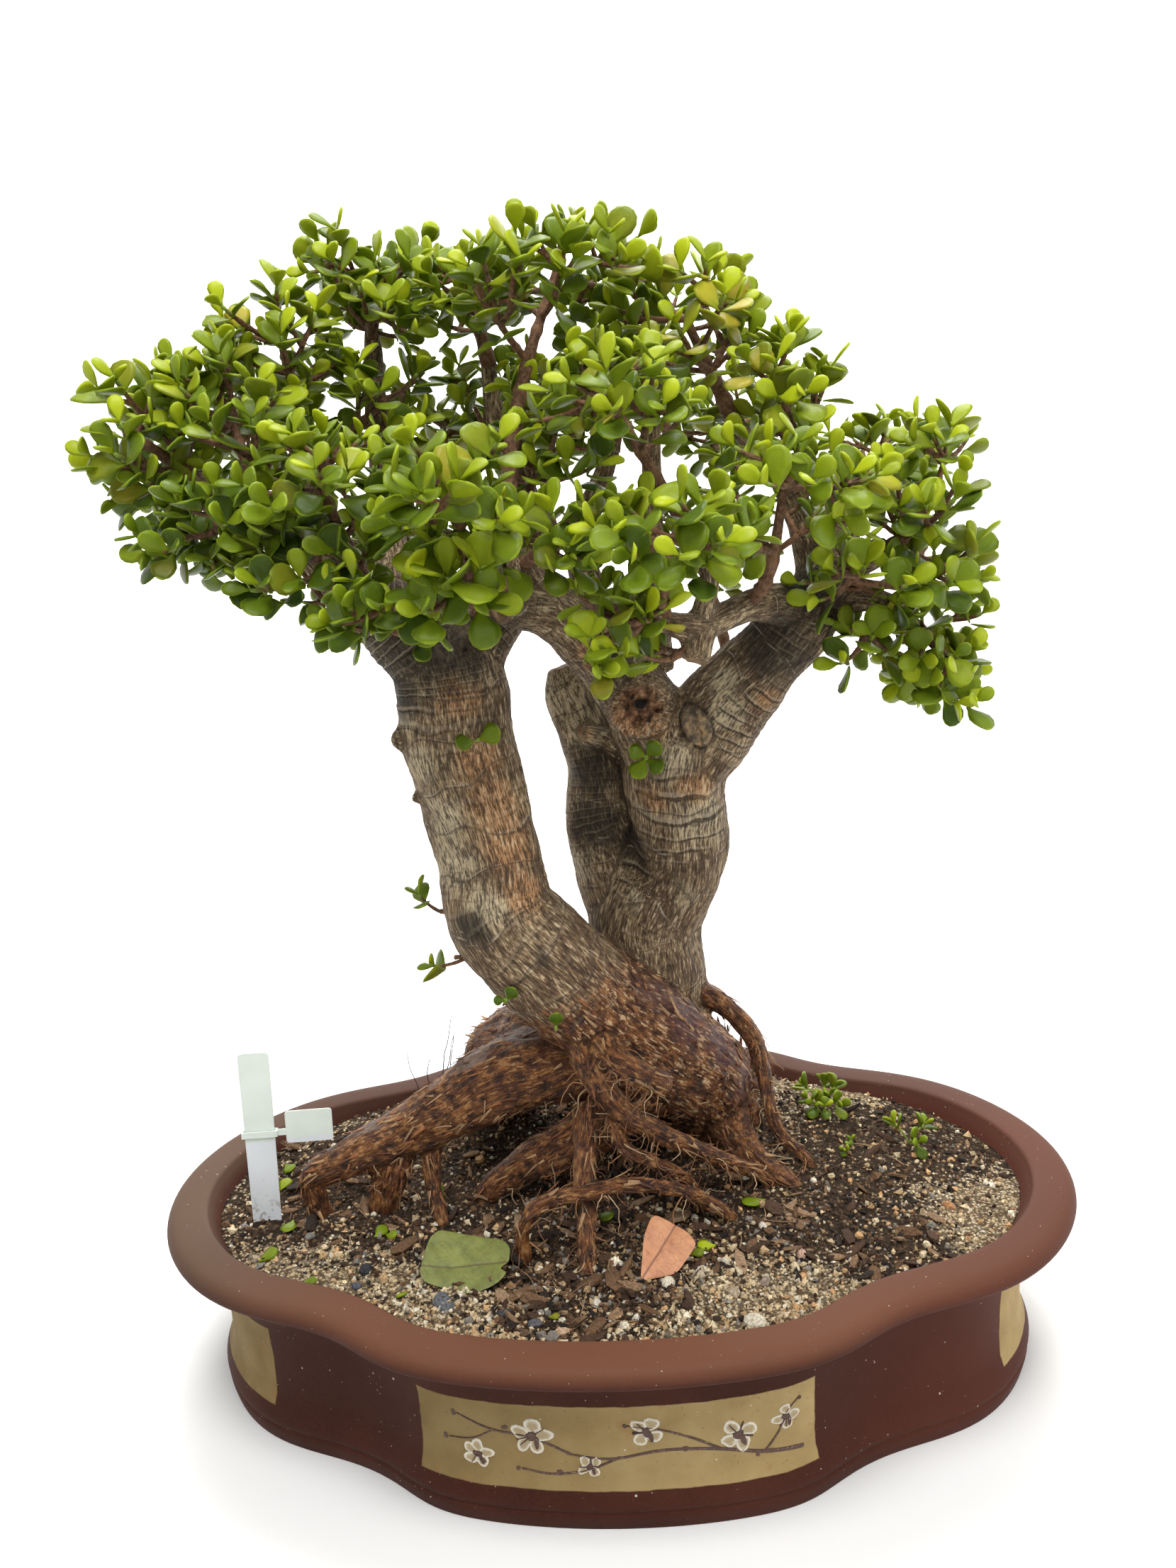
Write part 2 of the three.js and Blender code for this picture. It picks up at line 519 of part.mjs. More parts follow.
// One twig of a bough, planned as its stalk, its two pairs of leaves and their ends.
function planTwig(plan, nodes, sample) {
  const size = plan.leafScale;
  const tip = tipPlace(plan, sample);
  const start = nearestStart(nodes, tip);
  const reach = start.place.distanceTo(tip);
  const lead = start.place.clone().lerp(tip, 0.5).add(new THREE.Vector3(0, 0, -0.14 * reach));
  const curve = new THREE.QuadraticBezierCurve3(start.place, lead, tip);
  const along = curve.getTangent(1).add(new THREE.Vector3(0, 0, 0.35)).normalize();
  const across = new THREE.Vector3(Math.cos(7 * sample), Math.sin(7 * sample), 0.1);
  across.addScaledVector(along, -across.dot(along)).normalize();
  const length = LEAF.length * size * (0.88 + 0.26 * fraction(sample * SPREAD[0] + plan.phase));
  const tipRadius = TWIG.tipRadius * Math.max(size, 0.8);
  const half = 0.5 * LEAF.root * size;
  const pairCount = reach > 36 ? 3 : 2;
  const startRadius = tipRadius + TWIG.growth * reach;
  const rings = [{ place: start.place, along: curve.getTangent(0), radius: startRadius }];
  const pairs = [];
  for (let level = pairCount - 1; level >= 0; level -= 1) {
    const node = tip.clone().addScaledVector(along, -level * LEAF.pairSpacing * size);
    const radius = tipRadius * (1 + 0.12 * level);
    rings.push({ place: node.clone().addScaledVector(along, -half), along, radius });
    rings.push({ place: node.clone().addScaledVector(along, half), along, radius });
    const grown = length * (level === 0 ? 0.85 : 1);
    pairs.push({ ring: rings.length - 1, turn: level % 2, node, length: grown, lift: LEAF.lifts[level] });
  }
  const leafLines = pairs.flatMap(({ node, turn, length: far, lift }) => [1, -1].map((way) => {
    const out = turn === 0 ? across : along.clone().cross(across);
    const end = node.clone().addScaledVector(out, way * far * Math.cos(lift));
    return new THREE.Line3(node, end.addScaledVector(along, far * Math.sin(lift)));
  }));
  return { start, reach, curve, across, rings, pairs, leafLines };
}

function twigFits(owner, { leafLines, curve, reach }) {
  const tooDeep = leafLines.some((line) => Math.abs(line.end.y) > CANOPY_HALF_DEPTH);
  if (reach < SHORTEST_TWIG || tooDeep) return false;
  const [, first, second, tip] = curve.getPoints(3);
  const outer = [new THREE.Line3(first, second), new THREE.Line3(second, tip)];
  return outer.every((line) => isClear(owner, line, STALK_CLEARANCE))
    && leafLines.every((line) => isClear(owner, line, LEAF_CLEARANCE));
}

function makeBough(plan, wood) {
  const { name, radius, end, twigs } = plan;
  const stem = new THREE.CatmullRomCurve3(plan.stem.map(vector), false, 'centripetal');
  const length = stem.getLength();
  const rings = Math.max(2, Math.round(length / 26));
  const places = stem.getPoints(rings);
  const endRadius = Math.min(0.8 * radius, 2.1);
  const points = places.map((p, i) => [p.x, p.y, p.z, THREE.MathUtils.lerp(radius, endRadius, i / rings)]);
  const parts = [solidOf(bentCylinder(points, 4, rings))];
  const nodes = places.map((place, i) => ({ place, way: (length * i) / rings }));
  nodes.splice(0, Math.ceil(0.45 * rings));
  remember(name, places, radius);
  let made = 0;
  for (let sample = 0; made < twigs && sample < MOST_SAMPLES; sample += 1) {
    const twig = planTwig(plan, nodes, sample);
    if (!end && !twigFits(name, twig)) continue;
    parts.push(leafyTwig(twig.rings, twig.across, twig.pairs));
    remember(name, twig.curve.getPoints(3), STALK_CLEARANCE);
    for (const line of twig.leafLines) remember(name, [line.start, line.end], LEAF_CLEARANCE);
    nodes.push({ place: twig.curve.getPoint(0.5), way: twig.start.way + 0.5 * twig.reach });
    made += 1;
  }
  return joined(parts).subtract(wood);
}

// The plant stake and its tag.

const STAKE_TOP = new THREE.Vector3(-210.5, -29, 216);
const STAKE_FOOT = new THREE.Vector3(-216, -29, 62);

function onStake(geometry) {
  const up = STAKE_TOP.clone().sub(STAKE_FOOT).normalize();
  const across = new THREE.Vector3(1, 0.16, 0).addScaledVector(up, -up.x).normalize();
  const turn = new THREE.Matrix4().makeBasis(across, up.clone().cross(across), up).setPosition(STAKE_TOP);
  return solidOf(geometry.applyMatrix4(turn));
}

function makeStake(grow = 0) {
  const half = STAKE.width / 2 + grow;
  const low = -STAKE_TOP.distanceTo(STAKE_FOOT) - grow;
  const shape = new THREE.Shape();
  shape.moveTo(-half + 3, 0);
  shape.lineTo(half - 3, 0);
  shape.quadraticCurveTo(half, 0, half, -3);
  shape.lineTo(half - 1, low + STAKE.point);
  shape.lineTo(1, low);
  shape.lineTo(-1, low);
  shape.lineTo(-half + 1, low + STAKE.point);
  shape.lineTo(-half, -3);
  shape.quadraticCurveTo(-half, 0, -half + 3, 0);
  const depth = STAKE.thickness + 2 * grow;
  const plate = new THREE.ExtrudeGeometry(shape, { depth, bevelEnabled: false, curveSegments: 3 });
  return onStake(plate.rotateX(Math.PI / 2).translate(0, depth / 2, 0));
}

function makeTag() {
  const box = (width, depth, height, x, z) => {
    return new THREE.BoxGeometry(width, depth, height).translate(x, 0, z);
  };
  const room = { width: STAKE.width + 2 * GAP, depth: STAKE.thickness + 2 * GAP };
  const collarZ = -53;
  const wall = 2 * TAG.collarWall;
  const ring = onStake(box(room.width + wall, room.depth + wall, TAG.collarHeight, 0, collarZ));
  const slot = onStake(box(room.width, room.depth, 3 * TAG.collarHeight, 0, collarZ));
  const edge = room.width / 2 + TAG.collarWall;
  const bridge = onStake(box(8, TAG.thickness, TAG.collarHeight, edge + 3, collarZ));
  const card = onStake(box(TAG.width, TAG.thickness, TAG.height, edge + 5 + TAG.width / 2, collarZ + 3));
  return ring.add(bridge).subtract(slot).add(card);
}

// Fallen leaves stand with one edge in the grit, lean back, and curl up at their sides.

function fallenLeaf({ outline, place, turn, lean }, thickness, drop) {
  const shape = new THREE.Shape(outline.map(([x, y]) => new THREE.Vector2(x, y)));
  const blade = new THREE.ExtrudeGeometry(shape, { depth: thickness, bevelEnabled: false });
  const half = Math.max(...outline.map(([x]) => Math.abs(x)));
  const low = Math.min(...outline.map(([, y]) => y));
  const ground = soilHeight(place[0], place[1] + low * Math.cos(lean));
  moveEachVertex(blade, (p) => {
    const off = p.z - drop + 3.5 * (p.x / half) ** 2;
    const back = p.y * Math.cos(lean) - off * Math.sin(lean);
    const rise = (p.y - low) * Math.sin(lean) + off * Math.cos(lean);
    const x = place[0] + p.x * Math.cos(turn) - back * Math.sin(turn);
    const y = place[1] + p.x * Math.sin(turn) + back * Math.cos(turn);
    return new THREE.Vector3(x, y, ground + rise);
  });
  return solidOf(blade);
}

const GREEN_LEAF = {
  outline: [
    [-25, -7], [-21.8, -12.9], [-7.9, -16.3], [5.9, -19.2], [19.8, -14], [24.8, -8.1], [19.8, -4.7],
    [25.2, -1.2], [24.8, 7], [19.8, 12.9], [-7.9, 18.5], [-17.6, 19.3], [-22.7, 14],
  ],
  place: [-82, -89],
  turn: -0.04,
  lean: THREE.MathUtils.degToRad(24),
};
const RED_LEAF = {
  outline: [
    [-14.3, -19.3], [-3.9, -16.8], [5.9, -15.1], [14.9, -4.3], [17.8, 0.4], [12.9, 7.6], [5, 13.4],
    [-5.9, 19.3], [-11.5, 6.5], [-12.9, -6.5],
  ],
  place: [30, -83],
  turn: 0,
  lean: THREE.MathUtils.degToRad(34),
};
const greenLeaf = (grow) => fallenLeaf(GREEN_LEAF, 0.8 + 2 * grow, 1.4 + grow);
const redLeaf = (grow) => fallenLeaf(RED_LEAF, 0.7 + 2 * grow, 1.4 + grow);

// The whole tree in its pot.

for (const [name, points] of Object.entries({ ...LIMBS, ...ROOTS })) {
  for (let i = 1; i < points.length; i += 1) {
    const radius = 1.1 * Math.max(points[i - 1][3], points[i][3]);
    remember(name, [vector(points[i - 1]), vector(points[i])], radius);
  }
}
const limbClearance = joined(Object.values(LIMBS).map((points) => limbSolid(points, GAP)));
const soilHoles = [makeTrunkHole(), makeStake(GAP), greenLeaf(GAP), redLeaf(GAP)];

const bonsai = new THREE.Group();
bonsai.add(meshOf('pot', makePot(), clay));
bonsai.add(meshOf('soil', makeSoil(soilHoles), earth));
bonsai.add(meshOf('trunk', makeTrunk(), bark));
BOUGHS.forEach((plan, index) => {
  const phase = fraction(0.137 + 0.618 * index);
  bonsai.add(meshOf(plan.name, makeBough({ ...plan, phase }, limbClearance), leafGreen));
});
bonsai.add(meshOf('label_stake', makeStake(), whitePlastic));
bonsai.add(meshOf('label_tag', makeTag(), whitePlastic));
bonsai.add(meshOf('fallen_leaf_green', greenLeaf(0), fallenGreen));
bonsai.add(meshOf('fallen_leaf_red', redLeaf(0), fallenRed));

export default bonsai;
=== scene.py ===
# %% [markdown]
# # A dwarf jade bonsai in a four-lobed clay pot
# The tree is an old succulent: two thick trunks that lean apart over a spread of bare roots, and a
# crown of small round leaves that grow in opposite pairs. The measured model gives every size and
# place. This lesson dresses it piece by piece, and each step says what the real thing is, how it
# could be made, and why it is made the way it is. Lengths are millimetres until a mesh is made.

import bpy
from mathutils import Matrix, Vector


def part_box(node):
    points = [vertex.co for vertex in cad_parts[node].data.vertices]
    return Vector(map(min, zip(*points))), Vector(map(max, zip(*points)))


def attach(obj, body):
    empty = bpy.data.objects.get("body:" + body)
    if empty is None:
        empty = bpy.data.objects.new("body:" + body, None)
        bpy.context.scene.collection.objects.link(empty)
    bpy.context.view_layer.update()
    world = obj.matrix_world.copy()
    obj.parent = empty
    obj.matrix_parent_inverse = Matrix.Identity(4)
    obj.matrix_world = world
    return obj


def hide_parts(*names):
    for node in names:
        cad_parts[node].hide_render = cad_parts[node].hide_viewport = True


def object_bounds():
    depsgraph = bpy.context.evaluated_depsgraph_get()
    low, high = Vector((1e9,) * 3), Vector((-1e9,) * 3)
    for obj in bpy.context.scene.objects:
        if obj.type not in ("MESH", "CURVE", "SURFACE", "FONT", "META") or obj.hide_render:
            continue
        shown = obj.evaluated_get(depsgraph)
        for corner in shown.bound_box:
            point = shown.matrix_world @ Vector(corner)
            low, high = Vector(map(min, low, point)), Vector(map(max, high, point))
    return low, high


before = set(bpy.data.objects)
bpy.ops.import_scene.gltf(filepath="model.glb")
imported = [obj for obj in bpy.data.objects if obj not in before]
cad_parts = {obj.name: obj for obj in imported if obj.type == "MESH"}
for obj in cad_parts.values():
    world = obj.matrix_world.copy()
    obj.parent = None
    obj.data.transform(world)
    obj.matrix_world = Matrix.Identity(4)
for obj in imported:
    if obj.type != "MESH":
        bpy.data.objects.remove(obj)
measured_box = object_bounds()
print("measured box in metres:", [list(corner) for corner in measured_box])

# %% Tools of the lesson
import math

import bmesh
import bpy
import numpy as np
from mathutils import Matrix, Vector, noise

MM = 0.001
TURN = 2 * math.pi
SEEDS = {"sprig": 41, "soil": 5, "litter": 17, "boughs": 100}
scene = bpy.context.scene
print("length, depth and height in mm:",
      [round((high - low) / MM, 1) for low, high in zip(*measured_box)])

# %% [markdown]
# ## Camera
# The camera stands close, a little above the rim and slightly right of the middle, so the pot's near
# wall looks large and the rim's far side shows over the soil. A wide lens from that spot gives this
# perspective; a long lens from further back would flatten it. The frame is 1659 by 2212 pixels.

# %% Camera
FRAME_HEIGHT = 2212
FOCAL_PIXELS = 1660
CAMERA_PLACE = Vector((31.7, -670.7, 515.8))
CAMERA_RIGHT = Vector((0.9977, 0.0376, -0.0568))
CAMERA_UP = Vector((0.0471, 0.2223, 0.9739))

lens = bpy.data.cameras.new("camera")
lens.sensor_width = 36
lens.lens = lens.sensor_width * FOCAL_PIXELS / FRAME_HEIGHT
camera = bpy.data.objects.new("camera", lens)
axes = Matrix((CAMERA_RIGHT, CAMERA_UP, CAMERA_RIGHT.cross(CAMERA_UP))).transposed()
camera.matrix_world = Matrix.Translation(CAMERA_PLACE * MM) @ axes.to_4x4()
scene.collection.objects.link(camera)
scene.camera = camera
print("lens in mm:", round(lens.lens, 2))

# %% [markdown]
# ## Shader maths
# A finish is a small graph of nodes. Written node by node it is long and hard to read, so a wire
# here is an object that Python can add, subtract and multiply: each operator adds its Math node.
# Every other node comes from one method, which takes its kind, its settings and its sockets.


# %% A wire that can be used in expressions
class Wire:
    """An output socket of a finish. Arithmetic on it adds Math nodes."""

    def __init__(self, finish, socket):
        self.finish = finish
        self.socket = socket

    def maths(self, operation, *values):
        sockets = dict(enumerate(values))
        return self.finish.node("ShaderNodeMath", {"operation": operation}, sockets)

    def __add__(self, other):
        return self.maths("ADD", self, other)

    def __radd__(self, other):
        return self.maths("ADD", other, self)

    def __sub__(self, other):
        return self.maths("SUBTRACT", self, other)

    def __rsub__(self, other):
        return self.maths("SUBTRACT", other, self)

    def __mul__(self, other):
        return self.maths("MULTIPLY", self, other)

    def __rmul__(self, other):
        return self.maths("MULTIPLY", other, self)

    def __abs__(self):
        return self.maths("ABSOLUTE", self)


def methods_of(kind):
    """The names of a class's own methods, to show what a cell has made."""
    return ", ".join(name.strip("_") for name, value in vars(kind).items() if callable(value))


print("a wire knows:", methods_of(Wire))

# %% A finish under construction
class Finish:
    """One material: node() adds a node, the other methods are its common uses."""

    def __init__(self, name):
        self.material = bpy.data.materials.new(name)
        self.material.use_nodes = True
        self.tree = self.material.node_tree
        self.tree.nodes.clear()

    def node(self, kind, settings=None, sockets=None, output=0):
        made = self.tree.nodes.new(kind)
        for name, value in (settings or {}).items():
            if name == "stops":
                self.set_stops(made.color_ramp.elements, value)
            else:
                setattr(made, name, value)
        for name, value in (sockets or {}).items():
            if isinstance(value, Wire):
                self.tree.links.new(value.socket, made.inputs[name])
            else:
                made.inputs[name].default_value = value
        return Wire(self, made.outputs[output]) if made.outputs else None

    def set_stops(self, elements, stops):
        while len(elements) < len(stops):
            elements.new(0.5)
        for element, (position, colour) in zip(elements, stops):
            element.position = position
            element.color = (*colour, 1)

    def place(self):
        """The place on the piece, in millimetres."""
        metres = self.node("ShaderNodeTexCoord", output="Object")
        return self.stretch(metres, (1 / MM, 1 / MM, 1 / MM))

    def vectors(self, operation, first, second, output=0):
        settings = {"operation": operation}
        return self.node("ShaderNodeVectorMath", settings, {0: first, 1: second}, output)

    def stretch(self, vector, factors):
        return self.vectors("MULTIPLY", vector, factors)

    def axis(self, vector, name):
        """One of the three numbers of a vector: X, Y or Z."""
        return self.node("ShaderNodeSeparateXYZ", {}, {0: vector}, output=name)

    def mark(self, name, output="Fac"):
        """A value that the mesh carries at its points."""
        return self.node("ShaderNodeAttribute", {"attribute_name": name}, output=output)

    def noise(self, vector, size, detail=2, rough=0.5):
        sockets = {"Vector": vector, "Scale": 1 / size, "Detail": detail, "Roughness": rough}
        return self.node("ShaderNodeTexNoise", {}, sockets)

    def cells(self, vector, size, output="Distance"):
        return self.node("ShaderNodeTexVoronoi", {}, {"Vector": vector, "Scale": 1 / size}, output)

    def between(self, value, low, high):
        """0 below low, 1 above high, and a soft step between them."""
        settings = {"interpolation_type": "SMOOTHSTEP"}
        sockets = {"Value": value, "From Min": low, "From Max": high}
        return self.node("ShaderNodeMapRange", settings, sockets)

    def line(self, turns, half_width):
        """1 on every whole turn, falling to 0 at the half width."""
        away = self.node("ShaderNodeMath", {"operation": "PINGPONG"}, {0: turns, 1: 0.5})
        return 1 - self.between(away, half_width * 0.3, half_width)

    def oval(self, place, centre, right, up):
        """How far a place is from the middle of an oval, where 1 is its edge."""
        offset = self.vectors("SUBTRACT", place, centre)
        across, along = [self.vectors("DOT_PRODUCT", offset, way, 1) for way in (right, up)]
        squared = across * across + along * along
        return squared.maths("SQRT", squared)

    def ramp(self, value, *stops):
        return self.node("ShaderNodeValToRGB", {"stops": stops}, {0: value})

    def blend(self, factor, first, second):
        first, second = [c if isinstance(c, Wire) else (*c, 1) for c in (first, second)]
        sockets = {0: factor, 6: first, 7: second}
        return self.node("ShaderNodeMix", {"data_type": "RGBA"}, sockets, output=2)

    def layers(self, colour, *layers):
        """Lays colours over a first one. Each layer: how much it covers, and its colour."""
        for factor, over in layers:
            colour = self.blend(factor, colour, over)
        return colour

    def bumps(self, height, distance, strength=1.0):
        sockets = {"Height": height, "Distance": distance * MM, "Strength": strength}
        return self.node("ShaderNodeBump", {}, sockets, output="Normal")

    def done(self, **sockets):
        named = {name.replace("_", " "): value for name, value in sockets.items()}
        surface = self.node("ShaderNodeBsdfPrincipled", {}, named)
        self.node("ShaderNodeOutputMaterial", {}, {"Surface": surface})
        return self.material


print("a finish knows:", methods_of(Finish))

# %% [markdown]
# ## Floor and light
# The tree stands on a pale sheet that rises far behind it, so no horizon line cuts through the crown.
# A sheet could be a plane and a wall; turned from one profile it looks the same from every side.
# The light is soft, as under a bright sky: a pale world, a large lamp above, a weaker one on the
# right, and a low one behind that lights the edges of the leaves.

# %% Floor
STAGE_PROFILE = [(0, 0), (2200, 0), (2700, 60), (3100, 330), (3350, 900), (3400, 2600)]
STAGE_SIDES = 96


def around(sides):
    """Evenly spaced angles of a full turn."""
    return np.arange(sides) * TURN / sides


def turned(profile, sides):
    """Points and faces of a profile of (radius, height) turned about the upright axis."""
    angles = around(sides)
    rows = [np.stack([r * np.cos(angles), r * np.sin(angles), 0 * angles + z], 1) for r, z in profile]
    return np.concatenate(rows), loop_faces(len(profile), sides)


def loop_faces(rows, sides):
    """The four-sided faces between closed loops of points that follow each other."""
    row, side = np.meshgrid(np.arange(rows - 1), np.arange(sides), indexing="ij")
    here, beside = row * sides + side, row * sides + (side + 1) % sides
    return np.stack([here, beside, beside + sides, here + sides], -1).reshape(-1, 4)


def new_mesh(name, points, faces, smooth=True):
    mesh = bpy.data.meshes.new(name)
    mesh.from_pydata((np.asarray(points) * MM).tolist(), [], [list(face) for face in faces])
    mesh.validate()
    if smooth:
        mesh.shade_smooth()
    else:
        mesh.shade_flat()
    made = bpy.data.objects.new(name, mesh)
    scene.collection.objects.link(made)
    return made


def pale_sheet():
    sheet = Finish("pale_sheet")
    dust = sheet.noise(sheet.place(), 900)
    colour = sheet.ramp(dust, (0.3, (0.80, 0.80, 0.79)), (0.7, (0.84, 0.84, 0.83)))
    return sheet.done(Base_Color=colour, Roughness=0.9)


floor = new_mesh("floor", *turned(STAGE_PROFILE, STAGE_SIDES))
floor.data.materials.append(pale_sheet())
print("floor faces:", len(floor.data.polygons))

# %% Light
WORLD_LIGHT = 0.28
LAMPS = {
    "lamp_above": ((-50, -850, 1950), 1000, 35),
    "lamp_right": ((1400, -700, 1100), 900, 9),
    "lamp_behind": ((300, 1300, 1500), 1000, 9),
    "lamp_on_backdrop": ((0, 1000, 2600), 1600, 190),
}
AIM = Vector((0, 0, 330))
BACKDROP_AIM = Vector((0, 3300, 900))

world = bpy.data.worlds.new("pale_world")
world.use_nodes = True
world.node_tree.nodes["Background"].inputs["Color"].default_value = (1, 1, 1, 1)
world.node_tree.nodes["Background"].inputs["Strength"].default_value = WORLD_LIGHT
scene.world = world
scene.view_settings.view_transform = "Standard"
for lamp_name, (lamp_place, lamp_width, watts) in LAMPS.items():
    lamp_data = bpy.data.lights.new(lamp_name, "AREA")
    lamp_data.energy = watts
    lamp_data.size = lamp_width * MM
    lamp = bpy.data.objects.new(lamp_name, lamp_data)
    lamp.location = Vector(lamp_place) * MM
    aim = BACKDROP_AIM if "backdrop" in lamp_name else AIM
    lamp.rotation_euler = (aim - Vector(lamp_place)).to_track_quat("-Z", "Y").to_euler()
    scene.collection.objects.link(lamp)
print("lamps:", len(LAMPS))

# %% [markdown]
# ## Making pieces
# Most pieces here are many small bodies in one mesh: the leaves of a bough, the grains of the soil.
# Joining objects one by one is slow, so a heap gathers points and faces as number arrays, with the
# marks that the finishes read, and becomes one mesh in the end.


# %% A heap of bodies
class Heap:
    """Points and faces of many bodies, which become one piece."""

    def __init__(self):
        self.points = []
        self.faces = []
        self.finish = []
        self.marks = {}
        self.count = 0

    def add(self, points, faces, finish=0, **marks):
        self.points.append(points)
        self.faces += [[self.count + corner for corner in face] for face in faces]
        self.finish += [finish] * len(faces)
        for name, value in marks.items():
            value = np.asarray(value, float)
            shape = (len(points), 3) if value.shape[-1:] == (3,) else (len(points),)
            self.marks.setdefault(name, []).append(np.broadcast_to(value, shape))
        self.count += len(points)

    def piece(self, name, finishes, replaced=(), smooth=True):
        made = new_mesh(name, np.concatenate(self.points), self.faces, smooth)
        for finish in finishes:
            made.data.materials.append(finish)
        if len(finishes) > 1:
            made.data.polygons.foreach_set("material_index", self.finish)
        for mark, values in self.marks.items():
            add_mark(made, mark, np.concatenate(values))
        return dress(made, replaced)


def add_mark(made, name, values):
    kind, field = ("FLOAT_VECTOR", "vector") if values.ndim == 2 else ("FLOAT", "value")
    attribute = made.data.attributes.new(name, kind, "POINT")
    attribute.data.foreach_set(field, values.astype(np.float32).ravel())


triangles = {}


def dress(made, replaced=()):
    """Lets a finished piece ride on the model, and notes its size."""
    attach(made, "root")
    if replaced:
        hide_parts(*replaced)
    made.data.calc_loop_triangles()
    triangles[made.name] = len(made.data.loop_triangles)
    return made


print("a heap knows:", methods_of(Heap))

# %% [markdown]
# ## The pot
# A bonsai pot of dark red-brown clay, pressed in a mould: an oval with four soft notches, a rolled
# rim, and a foot that flares out a little. A subdivided box would lose the notches, so the pot is
# turned like a bowl and its rings are then laid along the oval's outline, at the inset that the
# profile gives. The profile's corners are cut again and again until they are round.

# %% The oval with its four notches
POT_HIGH = np.array(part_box("pot")[1]) / MM
HALF_LENGTH, HALF_DEPTH = POT_HIGH[0], 184.0
POT_HEIGHT = POT_HIGH[2]
NOTCH_ANGLE = math.radians(41.7)
NOTCH_DEPTH = 0.069
NOTCH_WIDTH = 0.207


def unit(vectors):
    return vectors / np.linalg.norm(vectors, axis=-1, keepdims=True)


def fraction(value):
    return value - np.floor(value)


def outline_radius(angle):
    ellipse = np.hypot(HALF_DEPTH * np.cos(angle), HALF_LENGTH * np.sin(angle))
    radius = HALF_LENGTH * HALF_DEPTH / ellipse
    for centre in (NOTCH_ANGLE, math.pi - NOTCH_ANGLE, math.pi + NOTCH_ANGLE, TURN - NOTCH_ANGLE):
        away = (fraction((angle - centre) / TURN + 0.5) - 0.5) * TURN
        radius = radius * (1 - NOTCH_DEPTH * np.exp(-((away / NOTCH_WIDTH) ** 2)))
    return radius


def outline_point(angle, inset):
    """The plan place at that angle, moved in from the outline by inset."""

    def at(a):
        return np.stack([np.cos(a), np.sin(a)], -1) * outline_radius(a)[..., None]

    along = unit(at(angle + 1e-3) - at(angle - 1e-3))
    inward = np.stack([-along[..., 1], along[..., 0]], -1)
    return at(angle) + inward * np.asarray(inset)[..., None]


def rounded(profile, times, ratio=0.25):
    """The profile with its corners cut that many times. Its ends stay."""
    points = np.array(profile, float)
    for _ in range(times):
        first = (1 - ratio) * points[:-1] + ratio * points[1:]
        second = ratio * points[:-1] + (1 - ratio) * points[1:]
        points = np.concatenate([points[:1], np.stack([first, second], 1).reshape(-1, 2), points[-1:]])
    return points


print("half length, half depth and height in mm:", np.round([HALF_LENGTH, HALF_DEPTH, POT_HEIGHT], 1))

# %% Bodies with that outline
def closed_rings(rings, low_centre, high_centre):
    """Points and faces of rings that are closed by a point below and a point above."""
    rows, sides = rings.shape[:2]
    points = np.concatenate([rings.reshape(-1, 3), [low_centre, high_centre]])
    faces = loop_faces(rows, sides).tolist()
    low, high, last = rows * sides, rows * sides + 1, (rows - 1) * sides
    for side in range(sides):
        beside = (side + 1) % sides
        faces.append([low, beside, side])
        faces.append([high, last + side, last + beside])
    return points, faces


def lobed_rings(profile, sides):
    """Rings of the outline, one for each (inset, height, part of the way out)."""
    angles = around(sides)
    rings = []
    for inset, height, out in profile:
        plan = outline_point(angles, np.full(sides, inset)) * out
        rings.append(np.column_stack([plan, np.full(sides, height)]))
    return np.array(rings), angles


print("points in one lobed ring of 240:", lobed_rings([(0, 0, 1)], 240)[0].size // 3)

# %% The pot's wall
FLOOR_HEIGHT = 14
POT_PROFILE = [
    (27, 0), (26.5, 0.5), (24.6, 9), (26, 11), (24.4, 13), (24.6, 17), (27.5, 24), (30.5, 32),
    (30.5, 60), (28.5, 84), (24, 96), (14, 100.5), (4, 102.5), (0.2, 106), (0.4, 110), (3, 114.2),
    (8, 115.8), (22, POT_HEIGHT), (24.6, 115.2), (26, 112), (38, 94), (40, FLOOR_HEIGHT),
]
POT_SIDES = 240
WALL_INSET = 30
PANEL_HEIGHTS = (23, 72)
PANEL_HALF_WIDTHS = [78, 108, 105, 108]  # right, back, left and front
SLIP_TOP = 100
QUARTER = math.pi / 2


def way_along(line):
    """How far along a line each of its points lies."""
    return np.concatenate([[0], np.cumsum(np.linalg.norm(np.diff(line, axis=0), axis=1))])


wall_angles = np.linspace(-QUARTER, TURN + QUARTER, 3601)
wall_way = way_along(outline_point(wall_angles, np.full(len(wall_angles), WALL_INSET)))


def panel_edge(angles):
    """How far a place on the wall lies outside the nearest slip panel's side edge."""
    nearest = np.round(angles / QUARTER)
    middle_way = np.interp(nearest * QUARTER, wall_angles, wall_way)
    away = np.abs(np.interp(angles, wall_angles, wall_way) - middle_way)
    return away - np.array(PANEL_HALF_WIDTHS)[nearest.astype(int) % 4]


wall = [(inset, height, 1) for inset, height in rounded(POT_PROFILE, 2)]
under = [(wall[0][0], 0, out) for out in (0.3, 0.7)]
inside = [(wall[-1][0], FLOOR_HEIGHT, out) for out in (0.7, 0.3)]
pot_rings, pot_angles = lobed_rings(under + wall + inside, POT_SIDES)
pot_heap = Heap()
edges = np.append(np.tile(panel_edge(pot_angles), len(pot_rings)), [100, 100])
# Slip lies on the outer side alone: below the rim, and before the profile comes down inside.
is_low = [height < SLIP_TOP for _, height, _ in under + wall + inside]
is_outer = np.append(np.repeat(is_low, POT_SIDES), [False, False])
is_outer[(len(under) + len(wall) * 3 // 4) * POT_SIDES:] = False
pot_heap.add(*closed_rings(pot_rings, (0, 0, 0), (0, 0, FLOOR_HEIGHT)), edge=edges, outer=is_outer)
print("pot rings:", len(pot_rings))

